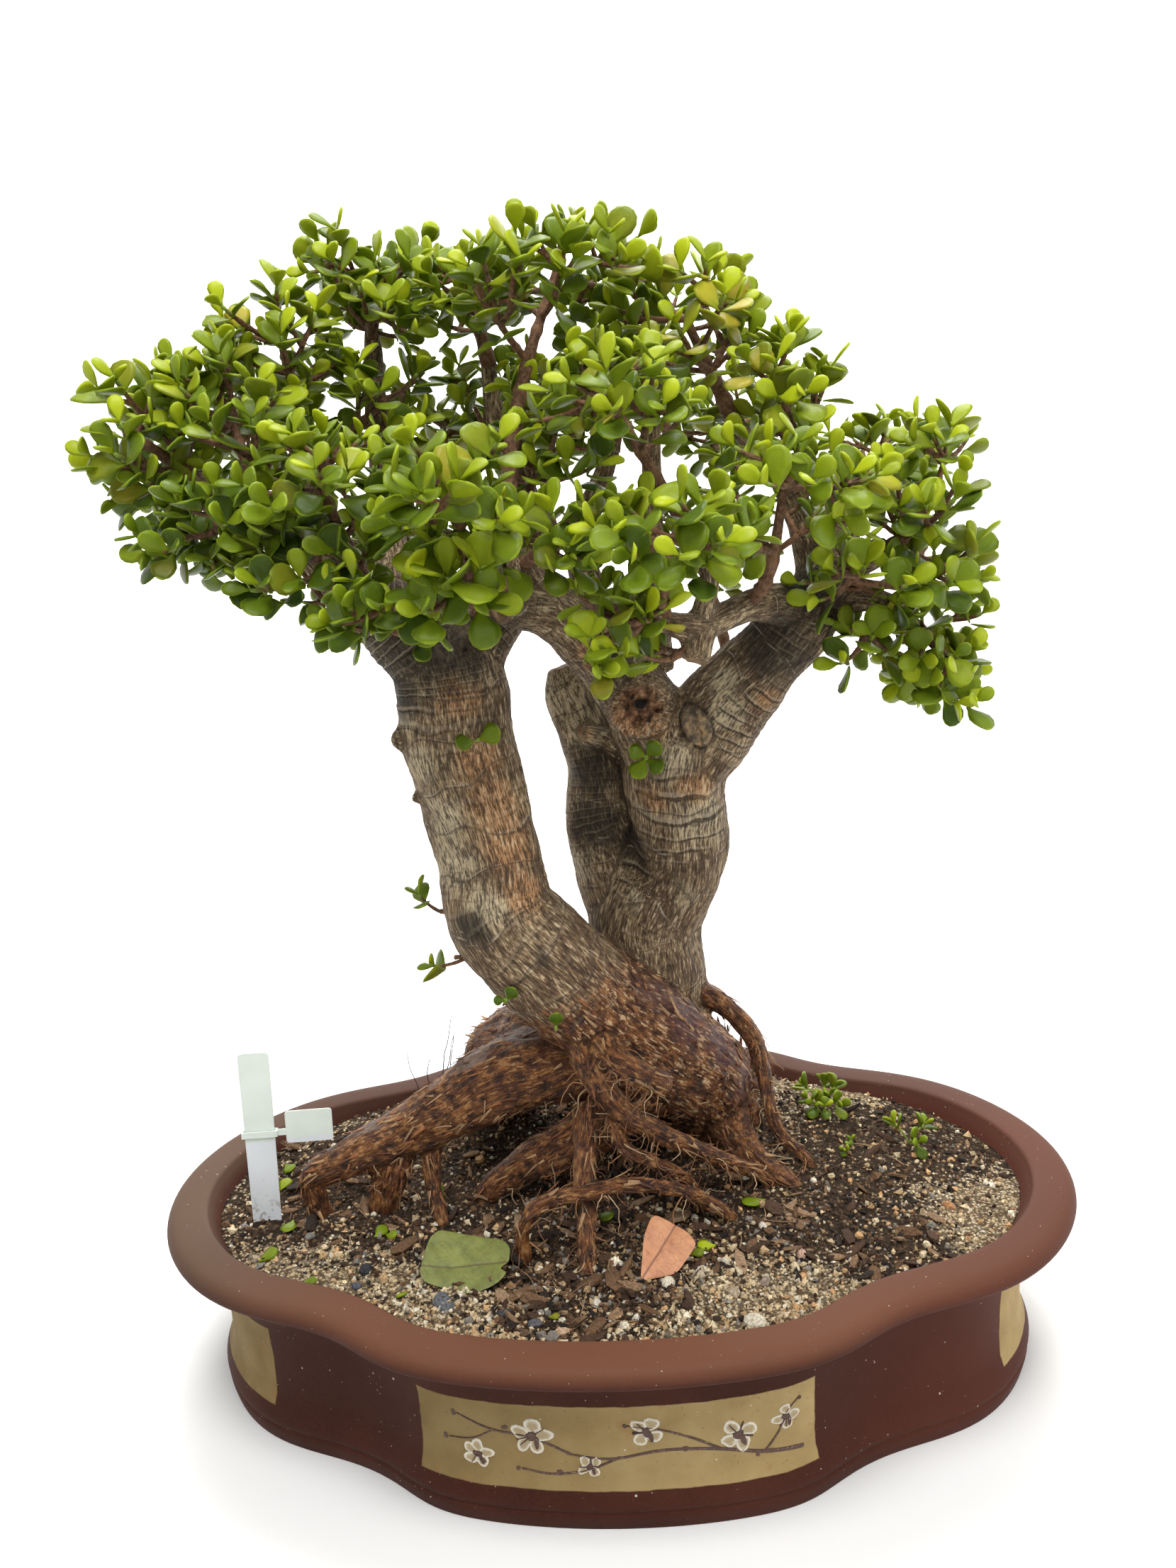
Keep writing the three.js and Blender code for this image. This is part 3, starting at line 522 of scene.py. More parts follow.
# %% [markdown]
# The clay is matt and almost even: a fine grain, slow changes of tone, a paler rim that is dusty on
# the left and carries painted light and shade, painted light on the right of the wall, and pale
# specks of grit that were splashed on it. The four panels are a cream slip, brushed on inside a
# masked rectangle, so they need no edge in the mesh: the wall carries its distance to the panel's
# side, and the shader turns that and the height into a mask with a slightly uneven edge. The slip
# is painted darker on the left as shade and lighter on the right.


# %% Clay and slip
def rim_dust_and_painted_light(clay, across, back):
    """The rim: tan in front as painted light, where the light strikes it, darker on the right and at the
    back as painted shade, and dusty on the left.
    """
    return clay.layers(
        (0.112, 0.046, 0.029),
        (clay.between(back, -40, -150), (0.170, 0.072, 0.041)),
        (clay.between(across, -120, -250) * 0.75, (0.112, 0.080, 0.052)),
        (clay.between(across, 120, 240) * 0.6, (0.098, 0.038, 0.022)),
        (clay.between(back, 20, 110) * 0.8, (0.070, 0.035, 0.024)))


def cream_slip(clay, place, across):
    """Cream, painted darker on the left as shade and lighter on the right as painted light, with brown
    stains and rusty clouds.
    """
    blotch = clay.noise(place, 25, detail=4)
    lit_cream = clay.ramp(blotch, (0.3, (0.31, 0.215, 0.092)), (0.75, (0.44, 0.325, 0.152)))
    shaded_cream = clay.ramp(blotch, (0.3, (0.185, 0.125, 0.050)), (0.75, (0.26, 0.185, 0.080)))
    stain = clay.between(clay.noise(place, 2.2), 0.66, 0.74) * 0.5
    rust = clay.between(clay.noise(place, 13, detail=2), 0.60, 0.78) * 0.35
    # Painted light and shade: the slip goes from darker on the left to lighter on the right.
    return clay.layers(shaded_cream, (clay.between(across, -120, 100), lit_cream),
                       (stain, (0.18, 0.10, 0.045)), (rust, (0.26, 0.12, 0.035)))


def panel_mask(clay, place, height):
    """1 inside the four panels. Their edges are as uneven as tape leaves them."""
    uneven = (clay.noise(place, 14, detail=4) - 0.5) * 3
    middle = sum(PANEL_HEIGHTS) / 2
    past_side = clay.mark("edge") + uneven
    past_top = abs(height - middle) - (PANEL_HEIGHTS[1] - middle) + uneven * 0.6
    beyond = clay.between(past_side.maths("MAXIMUM", past_side, past_top), -0.35, 0.35)
    return (1 - beyond) * clay.mark("outer")


def speckles(clay, place, spacing, most):
    """Pale dots of splashed grit, in groups: no more than one in each cell of that spacing."""
    group = clay.between(clay.noise(place, spacing * 5, detail=1), 0.42, 0.62)
    radius = clay.noise(place, spacing * 0.9, detail=0) * most - 0.02
    return clay.between(radius * group - clay.cells(place, spacing), 0, 0.02) * 0.85


def pot_clay():
    clay = Finish("red_brown_clay")
    place = clay.place()
    across, back, height = [clay.axis(place, name) for name in "XYZ"]
    grain = clay.noise(place, 1.1, detail=3)
    cloud = clay.noise(place, 60, detail=3)
    slip = panel_mask(clay, place, height)
    body = clay.ramp(cloud, (0.3, (0.038, 0.0105, 0.0060)), (0.7, (0.058, 0.017, 0.0100)))
    colour = clay.layers(
        body,
        # Painted light: the wall is painted lighter on the right, where the light falls.
        (clay.between(across, 90, 210) * 0.6, (0.086, 0.024, 0.0150)),
        (clay.between(height, 104, 117) * 0.8, rim_dust_and_painted_light(clay, across, back)),
        (clay.between(grain, 0.35, 0.75) * 0.12, (0.14, 0.060, 0.040)),
        (slip, cream_slip(clay, place, across)),
        (speckles(clay, place, 8, 0.16), (0.58, 0.52, 0.44)),
        (speckles(clay, place, 3.2, 0.20), (0.52, 0.45, 0.36)))
    relief = grain * 0.16 + slip * 0.35
    return clay.done(Base_Color=colour, Roughness=0.50 + grain * 0.16 + slip * 0.14,
                     Specular_IOR_Level=0.09, Normal=clay.bumps(relief, 1, 0.8))


red_brown_clay = pot_clay()
print("nodes of the clay:", len(red_brown_clay.node_tree.nodes))

# %% The pot as a piece, with its drain holes
DRAIN_RADIUS = 12
DRAIN_OFFSET = 105
DRILL_SIDES = 32
DRILL_FROM, DRILL_TO = -9, 30


def evaluated(made):
    """The mesh of an object with its modifiers applied."""
    return bpy.data.meshes.new_from_object(made.evaluated_get(bpy.context.evaluated_depsgraph_get()))


pot = pot_heap.piece("glazeless_pot", [red_brown_clay], replaced=["pot"])
drill_turns = around(DRILL_SIDES)
for drain_side in (-1, 1):
    middle = drain_side * DRAIN_OFFSET
    circle = np.stack([middle + DRAIN_RADIUS * np.cos(drill_turns),
                       DRAIN_RADIUS * np.sin(drill_turns)], 1)
    drill_rings = np.array([np.column_stack([circle, np.full(DRILL_SIDES, z)])
                            for z in (DRILL_FROM, DRILL_TO)])
    drill_ends = (middle, 0, DRILL_FROM), (middle, 0, DRILL_TO)
    drill = new_mesh("drill", *closed_rings(drill_rings, *drill_ends))
    cut = pot.modifiers.new("drain", "BOOLEAN")
    cut.operation = "DIFFERENCE"
    cut.solver = "EXACT"
    cut.object = drill
    pot.data = evaluated(pot)
    pot.modifiers.clear()
    bpy.data.objects.remove(drill)
print("pot triangles:", triangles["glazeless_pot"])

# %% [markdown]
# ### Lines
# Many things here follow a line: a brush stroke, a trunk, a twig. A curve through a few named points
# is easier to read and to change than a long list of places, and the square root of the gaps between
# the points keeps it from looping where they lie close together.

# %% A smooth line through points
def smooth_line(table, count):
    """Places on a curve through the table's points, and the radii there if it has them."""
    table = np.asarray(table, float)
    knots = table[:, :3]
    knots = np.vstack([2 * knots[0] - knots[1], knots, 2 * knots[-1] - knots[-2]])
    gaps = np.sqrt(np.linalg.norm(np.diff(knots, axis=0), axis=1))
    position = np.linspace(0, len(table) - 1, count)
    left = np.minimum(position.astype(int), len(table) - 2)
    p0, p1, p2, p3 = [knots[left + k] for k in range(4)]
    d0, d1, d2 = [gaps[left + k][:, None] for k in range(3)]
    m1 = ((p1 - p0) / d0 - (p2 - p0) / (d0 + d1) + (p2 - p1) / d1) * d1
    m2 = ((p2 - p1) / d1 - (p3 - p1) / (d1 + d2) + (p3 - p2) / d2) * d1
    t = (position - left)[:, None]
    line = p1 + m1 * t + (3 * (p2 - p1) - 2 * m1 - m2) * t**2 + (2 * (p1 - p2) + m1 + m2) * t**3
    radii = np.interp(position, np.arange(len(table)), table[:, 3]) if table.shape[1] > 3 else None
    return line, radii


def frames_along(line, first=(0.31, 0.9, -0.17)):
    """The direction of the line at each place, and two directions square to it."""
    along = unit(np.gradient(line, axis=0))
    across = np.zeros_like(line)
    current = np.array(first, float)
    for step, direction in enumerate(along):
        current = unit(current - direction * current.dot(direction))
        across[step] = current
    return along, across, np.cross(along, across)


corner = smooth_line([(0, 0, 0), (10, 0, 0), (10, 10, 0)], 5)[0]
print("a corner made smooth:", corner.round(1).tolist())

# %% [markdown]
# ### A brushed sprig
# The front panel carries a sprig of blossom in thick coloured slip, brushed on before firing. The
# strokes stand a little proud of the wall and catch the light, which a picture laid on the wall
# would not do. So they are bodies: each is laid out flat, in millimetres along the wall and up it,
# and then wrapped round the pot. The layout is the lesson's own; only the colours and the width of
# the strokes follow the real pot.

# %% Wrap flat strokes round the pot
FRONT_WAY = np.interp(3 * QUARTER, wall_angles, wall_way)
DAB_SIDES = 14
# The rings of a dab: part of the way out, how far it stands out of the wall, and how much slip pools.
DAB_RINGS = [
    (0.5, -0.9, 0), (0.97, -0.9, 0), (1, 0.1, 0.7), (0.86, 0.95, 1), (0.6, 0.6, 0.3), (0.25, 0.5, 0),
]
is_rim = [height > 90 for _, height, _ in wall]
outer_wall = np.array(wall[:is_rim.index(True)])


def wall_place(along, up, out):
    """The place that far along the front wall, that high, and that far out of the wall."""
    angle = np.interp(FRONT_WAY + along, wall_way, wall_angles)
    inset = np.interp(up, outer_wall[:, 1], outer_wall[:, 0]) - out
    return np.concatenate([outline_point(angle, inset), up[..., None]], -1)


def brush_stroke(heap, table, ink, thick=0.5):
    """A low ridge along a line. Each row of the table: along, up, half the width."""
    rows = [(along, up, 0, half) for along, up, half in table]
    line, half = smooth_line(rows, 6 * len(rows))
    ahead = unit(np.gradient(line, axis=0))
    corners = [(-1, 0.03), (-0.6, 0.75), (0, 1), (0.6, 0.75), (1, 0.03), (0.5, -1), (-0.5, -1)]
    rings = []
    for across, out in corners:
        along = line[:, 0] + ahead[:, 1] * half * across
        up = line[:, 1] - ahead[:, 0] * half * across
        rings.append(wall_place(along, up, np.full(len(line), out * thick)))
    rings = np.stack(rings, 1)
    points, faces = closed_rings(rings, rings[0].mean(0), rings[-1].mean(0))
    heap.add(points, faces, ink=ink, rim=0.5)


def brush_dab(heap, centre, half, turn, ink, chance, thick=0.6):
    """One press of the brush: the slip pools at the dab's uneven edge."""
    angles = around(DAB_SIDES)
    first, second = chance.uniform(0, TURN, 2)
    uneven = 1 + 0.13 * np.sin(2 * angles + first) + 0.09 * np.sin(3 * angles + second)
    flat = np.stack([half[0] * uneven * np.cos(angles), half[1] * uneven * np.sin(angles)], 1)
    flat = flat @ np.array([[math.cos(turn), math.sin(turn)], [-math.sin(turn), math.cos(turn)]])
    rings = np.array([wall_place(centre[0] + flat[:, 0] * part, centre[1] + flat[:, 1] * part,
                                 np.full(DAB_SIDES, out * thick)) for part, out, _ in DAB_RINGS])
    points, faces = closed_rings(rings, rings[0].mean(0), rings[-1].mean(0))
    rim = np.append(np.repeat([pooled for _, _, pooled in DAB_RINGS], DAB_SIDES), [0, 0])
    heap.add(points, faces, ink=ink, rim=rim)


print("front wall reaches from", outer_wall[0, 1], "to", round(outer_wall[-1, 1], 1), "mm")

# %% Branches, buds and blossoms
# Each branch: rows of (along, up, half the width). Each blossom: along, up, reach, petals, turn.
BRANCHES = [
    [(100, 33, 1.3), (78, 36, 1.2), (52, 42, 1.0), (24, 44, 0.9), (-4, 40, 0.8), (-26, 43, 0.6)],
    [(54, 42, 0.9), (40, 50, 0.8), (22, 57, 0.6), (6, 60, 0.4)],
    [(78, 36, 0.8), (86, 46, 0.7), (90, 56, 0.5), (97, 63, 0.4)],
    [(2, 41, 0.8), (-14, 34, 0.7), (-34, 31, 0.6), (-50, 33, 0.5)],
    [(-24, 43, 0.8), (-44, 52, 0.9), (-66, 55, 0.8), (-84, 62, 0.5)],
    [(-64, 55, 0.6), (-76, 48, 0.5), (-90, 46, 0.4)],
]
BLOSSOMS = [
    (-44, 53, 11, 5, 0.2), (16, 56, 9.5, 4, 0.9), (64, 49, 10.5, 4, 0.5), (-74, 39, 8.5, 5, 1.4),
    (90, 54, 8, 4, 0.1), (-14, 36, 7, 4, 0.7),
]
BUDS = [(-86, 62), (-92, 46), (-52, 33), (5, 60), (36, 44), (98, 63), (-30, 32), (74, 35), (-58, 57)]

chance = np.random.default_rng(SEEDS["sprig"])
sprig = Heap()
for branch in BRANCHES:
    brush_stroke(sprig, branch, ink=0.8)
for along, up in BUDS:
    size = chance.uniform(1.1, 1.9)
    brush_dab(sprig, (along, up), (size, size * 0.75), chance.uniform(0, TURN), 1.0, chance, 0.5)
for along, up, reach, petals, turn in BLOSSOMS:
    for petal in range(petals):
        way = turn + TURN * petal / petals + chance.uniform(-0.15, 0.15)
        middle = (along + 0.56 * reach * math.cos(way), up + 0.56 * reach * math.sin(way))
        half = (reach * chance.uniform(0.42, 0.50), reach * chance.uniform(0.34, 0.42))
        brush_dab(sprig, middle, half, way, 0.0, chance, 0.55)
    brush_dab(sprig, (along, up), (reach * 0.32, reach * 0.24), turn * 2, 1.0, chance, 1.0)
    drop = (along + reach * 0.25, up - reach * 0.35)
    brush_dab(sprig, drop, (reach * 0.14, reach * 0.36), turn * 0.3, 1.0, chance, 0.9)
    for _ in range(3):
        way = chance.uniform(0, TURN)
        far = np.array([math.cos(way), math.sin(way)]) * reach
        rows = [(along + far[0] * k, up + far[1] * k, 0.65 - 0.5 * k) for k in (0.15, 0.45, 0.75)]
        brush_stroke(sprig, rows, ink=1.0, thick=1.0)
print("points of the sprig:", sprig.count)


# %% The sprig's finish
def brushed_slip():
    slip = Finish("brushed_slip")
    place = slip.place()
    streak = slip.noise(slip.stretch(place, (1, 1, 1.6)), 1.8, detail=4, rough=0.7)
    cover = slip.between(slip.mark("rim") * 0.55 + streak * 0.8, 0.42, 0.92)
    white = slip.blend(cover, (0.36, 0.27, 0.14), (0.70, 0.65, 0.54))
    brown = slip.ramp(streak, (0.35, (0.040, 0.016, 0.011)), (0.66, (0.13, 0.062, 0.040)))
    dry = slip.between(streak, 0.58, 0.66) * (1 - slip.between(slip.mark("ink"), 0.85, 0.95))
    brown = slip.blend(dry * 0.8, brown, (0.34, 0.25, 0.13))
    colour = slip.blend(slip.between(slip.mark("ink"), 0.3, 0.6), white, brown)
    return slip.done(Base_Color=colour, Roughness=0.36 + streak * 0.2,
                     Normal=slip.bumps(streak, 0.4, 0.6))


sprig.piece("brushed_sprig", [brushed_slip()])
print("sprig triangles:", triangles["brushed_sprig"])

# %% [markdown]
# ## The old wood
# Trunks, limbs and bare roots grew as one body. Each limb is a tube along a smooth line, with the
# same points and radii as the measured model, in millimetres: the place, then the radius. Tubes that
# merely cross would show hard seams, and joining them one by one is slow and frail. Rebuilding the
# whole heap from small cubes joins everything at once and leaves an even mesh, which can then be
# carved by formulas: wrinkles round each limb, fibres along it, flakes near the ground.

# %% Where the limbs run
LIMBS = {
    "left_trunk": [
        (64, 46, 96, 17), (62, 42, 128, 23), (59, 32, 158, 33), (28, 16, 191, 35), (-6, 8, 222, 34.5),
        (-36, 2, 257, 36), (-59, 0, 286, 34), (-63, 4, 319, 31), (-73, 10, 357, 32),
        (-80, 14, 389, 33), (-81, 16, 417, 34), (-84, 16, 440, 31),
    ],
    "left_fork": [
        (-84, 16, 438, 31), (-108, 10, 463, 23), (-127, 2, 482, 19), (-148, -8, 508, 15),
        (-171, -16, 524, 12), (-186, -20, 534, 9.5), (-203, -26, 549, 7),
    ],
    "left_back_limb": [
        (-100, 12, 456, 17), (-112, 38, 505, 10.5), (-118, 56, 558, 8), (-121, 72, 605, 6.5),
        (-121, 80, 634, 5),
    ],
    "left_trunk_right_fork": [
        (-78, 16, 433, 23), (-57, 30, 456, 19), (-41, 40, 475, 16), (-26, 50, 501, 13),
        (-33, 60, 531, 9), (-49, 75, 578, 6.8), (-52, 80, 612, 5),
    ],
    "right_trunk": [
        (66, 66, 92, 34), (56, 62, 126, 37), (42, 60, 160, 36), (31, 62, 196, 35), (29, 61, 230, 36),
        (27, 60, 265, 37), (37, 56, 289, 37),
    ],
    "rear_stub": [
        (22, 60, 262, 30), (11, 62, 296, 28), (2, 64, 329, 22), (1, 65, 360, 19.5),
        (-5, 66, 388, 18.5), (-13, 68, 410, 17.5), (-18, 69, 426, 10),
    ],
    "rear_spur": [(14, 54, 376, 8), (4, 47, 383, 6.2), (-5, 43, 387, 5.4)],
    "left_nub_upper": [(-88, 6, 398, 11), (-107, 2, 396, 7.5), (-114, 0, 396, 6)],
    "left_nub_lower": [(-88, 4, 362, 8), (-100, 0, 361, 4.6), (-106, -1, 361, 3.6)],
    "right_trunk_upper": [
        (34, 58, 262, 30), (49, 52, 297, 31), (52, 48, 331, 30), (52, 44, 362, 33), (56, 42, 384, 32),
    ],
    "middle_limb": [
        (45, 42, 373, 26), (31, 34, 402, 22.5), (14, 28, 429, 20), (-5, 20, 453, 18),
        (-22, 12, 472, 15.5), (-34, 8, 491, 12.5), (-36, 6, 510, 8.5), (-40, 4, 530, 6.7),
    ],
    "middle_stub": [(-16, 14, 464, 14), (-34, 0, 470, 14), (-43, -8, 473, 13)],
    "knot": [(34, 34, 400, 21), (31, 17, 406, 19), (30, 7, 409, 16)],
    "middle_back_limb": [
        (14, 28, 429, 16), (6, 50, 461, 11), (-2, 66, 500, 8.5), (14, 82, 540, 6.5),
        (22, 90, 560, 5.2),
    ],
    "right_limb": [
        (58, 42, 368, 29), (85, 36, 405, 27), (108, 30, 430, 24), (127, 26, 453, 22),
        (141, 24, 472, 17), (151, 26, 500, 10.5), (155, 27, 518, 8.5),
    ],
    "right_outer_limb": [(132, 25, 458, 16), (153, 2, 483, 10), (170, -6, 490, 7.5)],
    "drooping": [(140, 20, 462, 12), (166, 4, 462, 7), (184, 0, 452, 5)],
    "fore_limb": [(118, 14, 462, 13), (91, -20, 464, 8.5), (63, -50, 457, 7.8), (38, -75, 465, 5.5)],
    "fore_stub": [(66, -46, 457, 8), (62, -55, 447, 8.5), (60, -58, 440, 8)],
    "fore_riser": [(64, -48, 458, 6.5), (69, -60, 486, 5.5), (60, -68, 506, 4.4)],
    "top_limb": [
        (138, 28, 470, 14), (130, 36, 505, 9.5), (118, 41, 532, 7.5), (102, 45, 552, 6.4),
        (88, 49, 574, 5.2),
    ],
    "middle_riser": [
        (38, 44, 424, 14), (42, 58, 462, 9), (43, 68, 512, 7), (45, 73, 560, 5.8), (47, 76, 600, 4.6),
    ],
}

print("limbs:", len(LIMBS), "with", sum(len(table) for table in LIMBS.values()), "points")

# %% Where the roots run
ROOTS = {
    "plate": [
        (-14, 12, 188, 27), (-40, 8, 184, 24), (-66, 0, 180, 21.5), (-97, -8, 166, 20.5),
        (-132, -14, 151, 15), (-163, -20, 139, 11), (-186, -22, 128, 8), (-184, -22, 110, 7.5),
        (-178, -20, 88, 6),
    ],
    "plate_leg_outer": [
        (-130, -13, 148, 13), (-138, -17, 126, 11), (-143, -20, 106, 9), (-144, -20, 86, 6),
    ],
    "plate_leg_inner": [
        (-112, -12, 145, 7), (-110, -24, 120, 5.5), (-104, -36, 104, 4.6), (-100, -42, 88, 3.5),
    ],
    "front": [
        (-12, -14, 166, 10), (-15, -41, 146, 7.4), (-15, -65, 127, 6.2), (-14, -86, 104, 5.2),
        (-14, -96, 86, 4),
    ],
    "crossing": [
        (-50, -76, 88, 4.4), (-50, -78, 106, 4.9), (-50, -80, 124, 4.9), (-40, -77, 139, 5.2),
        (-14, -70, 142, 5), (16, -60, 140, 4.6), (52, -46, 122, 4.3), (70, -40, 104, 4),
        (80, -36, 88, 3),
    ],
    "long": [
        (-14, -20, 206, 10), (-2, -38, 189, 7.8), (9, -42, 177, 6.8), (29, -38, 160, 6.2),
        (49, -30, 145, 5.6), (71, -20, 129, 5), (93, -8, 110, 4.4), (106, -2, 90, 3.4),
    ],
    "blunt": [(-2, -14, 214, 10), (4, -32, 208, 8.6), (20, -44, 201, 8), (36, -49, 196, 7)],
    "thin": [
        (4, -30, 180, 6), (8, -44, 156, 4.8), (30, -42, 141, 4.3), (48, -34, 122, 4),
        (58, -30, 90, 3.2),
    ],
    "tail": [
        (66, 26, 148, 20), (80, 12, 124, 12), (94, 4, 113, 8), (110, -4, 104, 5.5),
        (124, -10, 88, 3.6),
    ],
    "arch": [
        (52, 50, 212, 9), (66, 54, 206, 7.6), (82, 55, 192, 6.6), (94, 51, 176, 6.2),
        (99, 42, 158, 5.6), (101, 32, 142, 5), (106, 22, 126, 4.4), (120, 15, 112, 3.8),
        (132, 12, 96, 3),
    ],
    "under": [
        (22, 6, 168, 20), (-4, -2, 150, 17), (-30, -8, 136, 14), (-57, -12, 125, 10.5),
        (-76, -14, 112, 8), (-88, -14, 92, 5),
    ],
    "back_left": [
        (-14, 30, 192, 30), (-44, 46, 182, 31), (-68, 62, 168, 28), (-82, 78, 140, 23),
        (-86, 86, 92, 15),
    ],
    "back_middle": [(10, 70, 170, 24), (-6, 98, 142, 19), (-22, 118, 112, 14), (-30, 126, 88, 10)],
    "back_right": [(60, 72, 150, 24), (80, 88, 130, 15), (98, 98, 114, 9), (110, 102, 92, 6)],
}

print("roots:", len(ROOTS), "with", sum(len(table) for table in ROOTS.values()), "points")

# %% A tube along a line
def lumpy(place, radius):
    """Old wood is never round: its radius swells and shrinks with the place."""
    x, y, z = np.moveaxis(place, -1, 0)
    broad = np.sin(x / 19 + z / 37) * np.sin(y / 16 - z / 29 + 1.7)
    fine = np.sin((x + y) / 7.5) * np.cos((z - y) / 9.5)
    return radius * (1 + 0.07 * broad) + np.minimum(1.2, 0.05 * radius) * fine


ROUND_END = 0.45  # how far a tube's end stands out, as a part of its radius


def tube(line, radii, sides, swell=None, first=(0.31, 0.9, -0.17), round_end=ROUND_END):
    """Points and faces of a tube. swell makes its radius uneven."""
    along, across, side = frames_along(line, first)
    angles = around(sides)
    spokes = np.cos(angles)[:, None] * across[:, None] + np.sin(angles)[:, None] * side[:, None]
    reach = np.broadcast_to(np.asarray(radii)[:, None], (len(line), sides))
    if swell:
        reach = swell(line[:, None] + spokes * reach[..., None], reach)
    rings = line[:, None] + spokes * reach[..., None]
    return closed_rings(rings, line[0], line[-1] + along[-1] * radii[-1] * round_end)


short_line = np.linspace((0, 0, 0), (0, 0, 30), 4)
print("faces of a short tube with six sides:", len(tube(short_line, np.full(4, 5), 6)[1]))

# %% Join the limbs and roots
CUT_FLAT = ("rear_stub", "rear_spur", "middle_stub", "fore_stub", "knot")
LINE_STEP = 3
SIDES_PER_RADIUS = 1.6
WOOD_CUBE = 2.35

wood_lines = {}
wood_heap = Heap()
for limb_name, table in {**LIMBS, **ROOTS}.items():
    rough_length = way_along(np.array(table)[:, :3])[-1]
    line, radii = smooth_line(table, max(4, int(rough_length / LINE_STEP)))
    wood_lines[limb_name] = line, radii
    sides = int(np.clip(radii.max() * SIDES_PER_RADIUS, 12, 48))
    round_end = 0 if limb_name in CUT_FLAT else ROUND_END
    wood_heap.add(*tube(line, radii, sides, lumpy, round_end=round_end))
wood = new_mesh("old_wood", np.concatenate(wood_heap.points), wood_heap.faces)


remesh = wood.modifiers.new("cubes", "REMESH")
remesh.mode = "VOXEL"
remesh.voxel_size = WOOD_CUBE * MM
soften = wood.modifiers.new("soften", "SMOOTH")
soften.factor = 0.5
soften.iterations = 4
wood.data = evaluated(wood)
wood.modifiers.clear()
print("wood faces:", len(wood.data.polygons))


# %% Where each point of the wood lies on its limb
def read_points(mesh, field="vertices"):
    values = np.zeros(len(mesh.vertices) * 3, np.float32)
    if field == "vertices":
        mesh.vertices.foreach_get("co", values)
        return values.reshape(-1, 3).astype(float) / MM
    mesh.vertex_normals.foreach_get("vector", values)
    return values.reshape(-1, 3).astype(float)


wood_points = read_points(wood.data)
wood_normals = read_points(wood.data, "normals")
nearest_gap = np.full(len(wood_points), 1e9)
second_gap = np.full(len(wood_points), 1e9)
second_of = np.zeros(len(wood_points), int)
grain = np.zeros_like(wood_points)
girth = np.zeros(len(wood_points))
limb_of = np.zeros(len(wood_points), int)
for number, (line, radii) in enumerate(wood_lines.values()):
    along, across, side = frames_along(line)
    squared = (wood_points**2).sum(1)[:, None] + (line**2).sum(1) - 2 * wood_points @ line.T
    gap = np.sqrt(np.maximum(squared, 0)) - radii
    step = gap.argmin(1)
    gap = gap[np.arange(len(step)), step]
    closer = gap < nearest_gap
    second_of = np.where(closer, limb_of, np.where(gap < second_gap, number, second_of))
    second_gap = np.where(closer, nearest_gap, np.minimum(second_gap, gap))
    nearest_gap = np.where(closer, gap, nearest_gap)
    offset = wood_points - line[step]
    arc = way_along(line)[step]
    local = np.stack([(offset * across[step]).sum(1), (offset * side[step]).sum(1),
                      arc + (offset * along[step]).sum(1)], 1)
    grain[closer] = local[closer]
    girth[closer] = radii[step][closer]
    limb_of[closer] = number
print("limbs and roots:", len(wood_lines))

# %% Joints, roots and the seam of the right trunk
JOINT_REACH = 5
SEAM_HALF_WIDTH = 2.2
SEAM_FOOT = 296  # below this height the two stems of the right trunk are one
limb_names = list(wood_lines)


def among(limbs, names):
    """Whether each point's limb is one of those names."""
    return np.isin(limbs, [limb_names.index(name) for name in names])


past_joint = second_gap - nearest_gap
clear_of_joint = np.clip(past_joint / JOINT_REACH, 0, 1)
is_root = among(limb_of, ROOTS).astype(float)
GROWN_TOGETHER = ("rear_stub", "right_trunk_upper")
seam = among(limb_of, GROWN_TOGETHER) * among(second_of, GROWN_TOGETHER)
seam = seam * np.exp(-((past_joint / SEAM_HALF_WIDTH) ** 2)) * (wood_points[:, 2] > SEAM_FOOT)
print("points on roots:", int(is_root.sum()), "points in the seam:", int((seam > 0.5).sum()))


# %% Noise and soft steps for many points
def clouds(points, size, octaves=1):
    """Smooth noise, about -1 to 1, for many places."""
    places = (points / size).tolist()
    if octaves == 1:
        return np.array([noise.noise(p) for p in places])
    return np.array([noise.fractal(p, 1.0, 2.0, octaves) for p in places])


def step_between(value, low, high):
    t = np.clip((value - low) / (high - low), 0, 1)
    return t * t * (3 - 2 * t)


def near(points, centre, radius):
    """1 at the centre, falling to 0 at the radius."""
    away = np.linalg.norm(points - np.array(centre), axis=1)
    return 1 - step_between(away, 0.35 * radius, radius)


print("clouds at two places:", np.round(clouds(np.array([(3.0, 4, 5), (9, 8, 7)]), 6), 2))

# %% Carve wrinkles, fibres and flakes
# Where the skin is folded most: under the left fork, inside both forks, and round the right trunk.
FOLDED = [
    ((-112, 4, 448), 66), ((-66, 0, 462), 44), ((52, 30, 345), 44), ((30, 40, 300), 36),
    ((90, 20, 400), 34),
]
WRINKLE_SPACING = 10.5
RIGHT_TRUNK = ("right_trunk", "right_trunk_upper", "rear_stub")

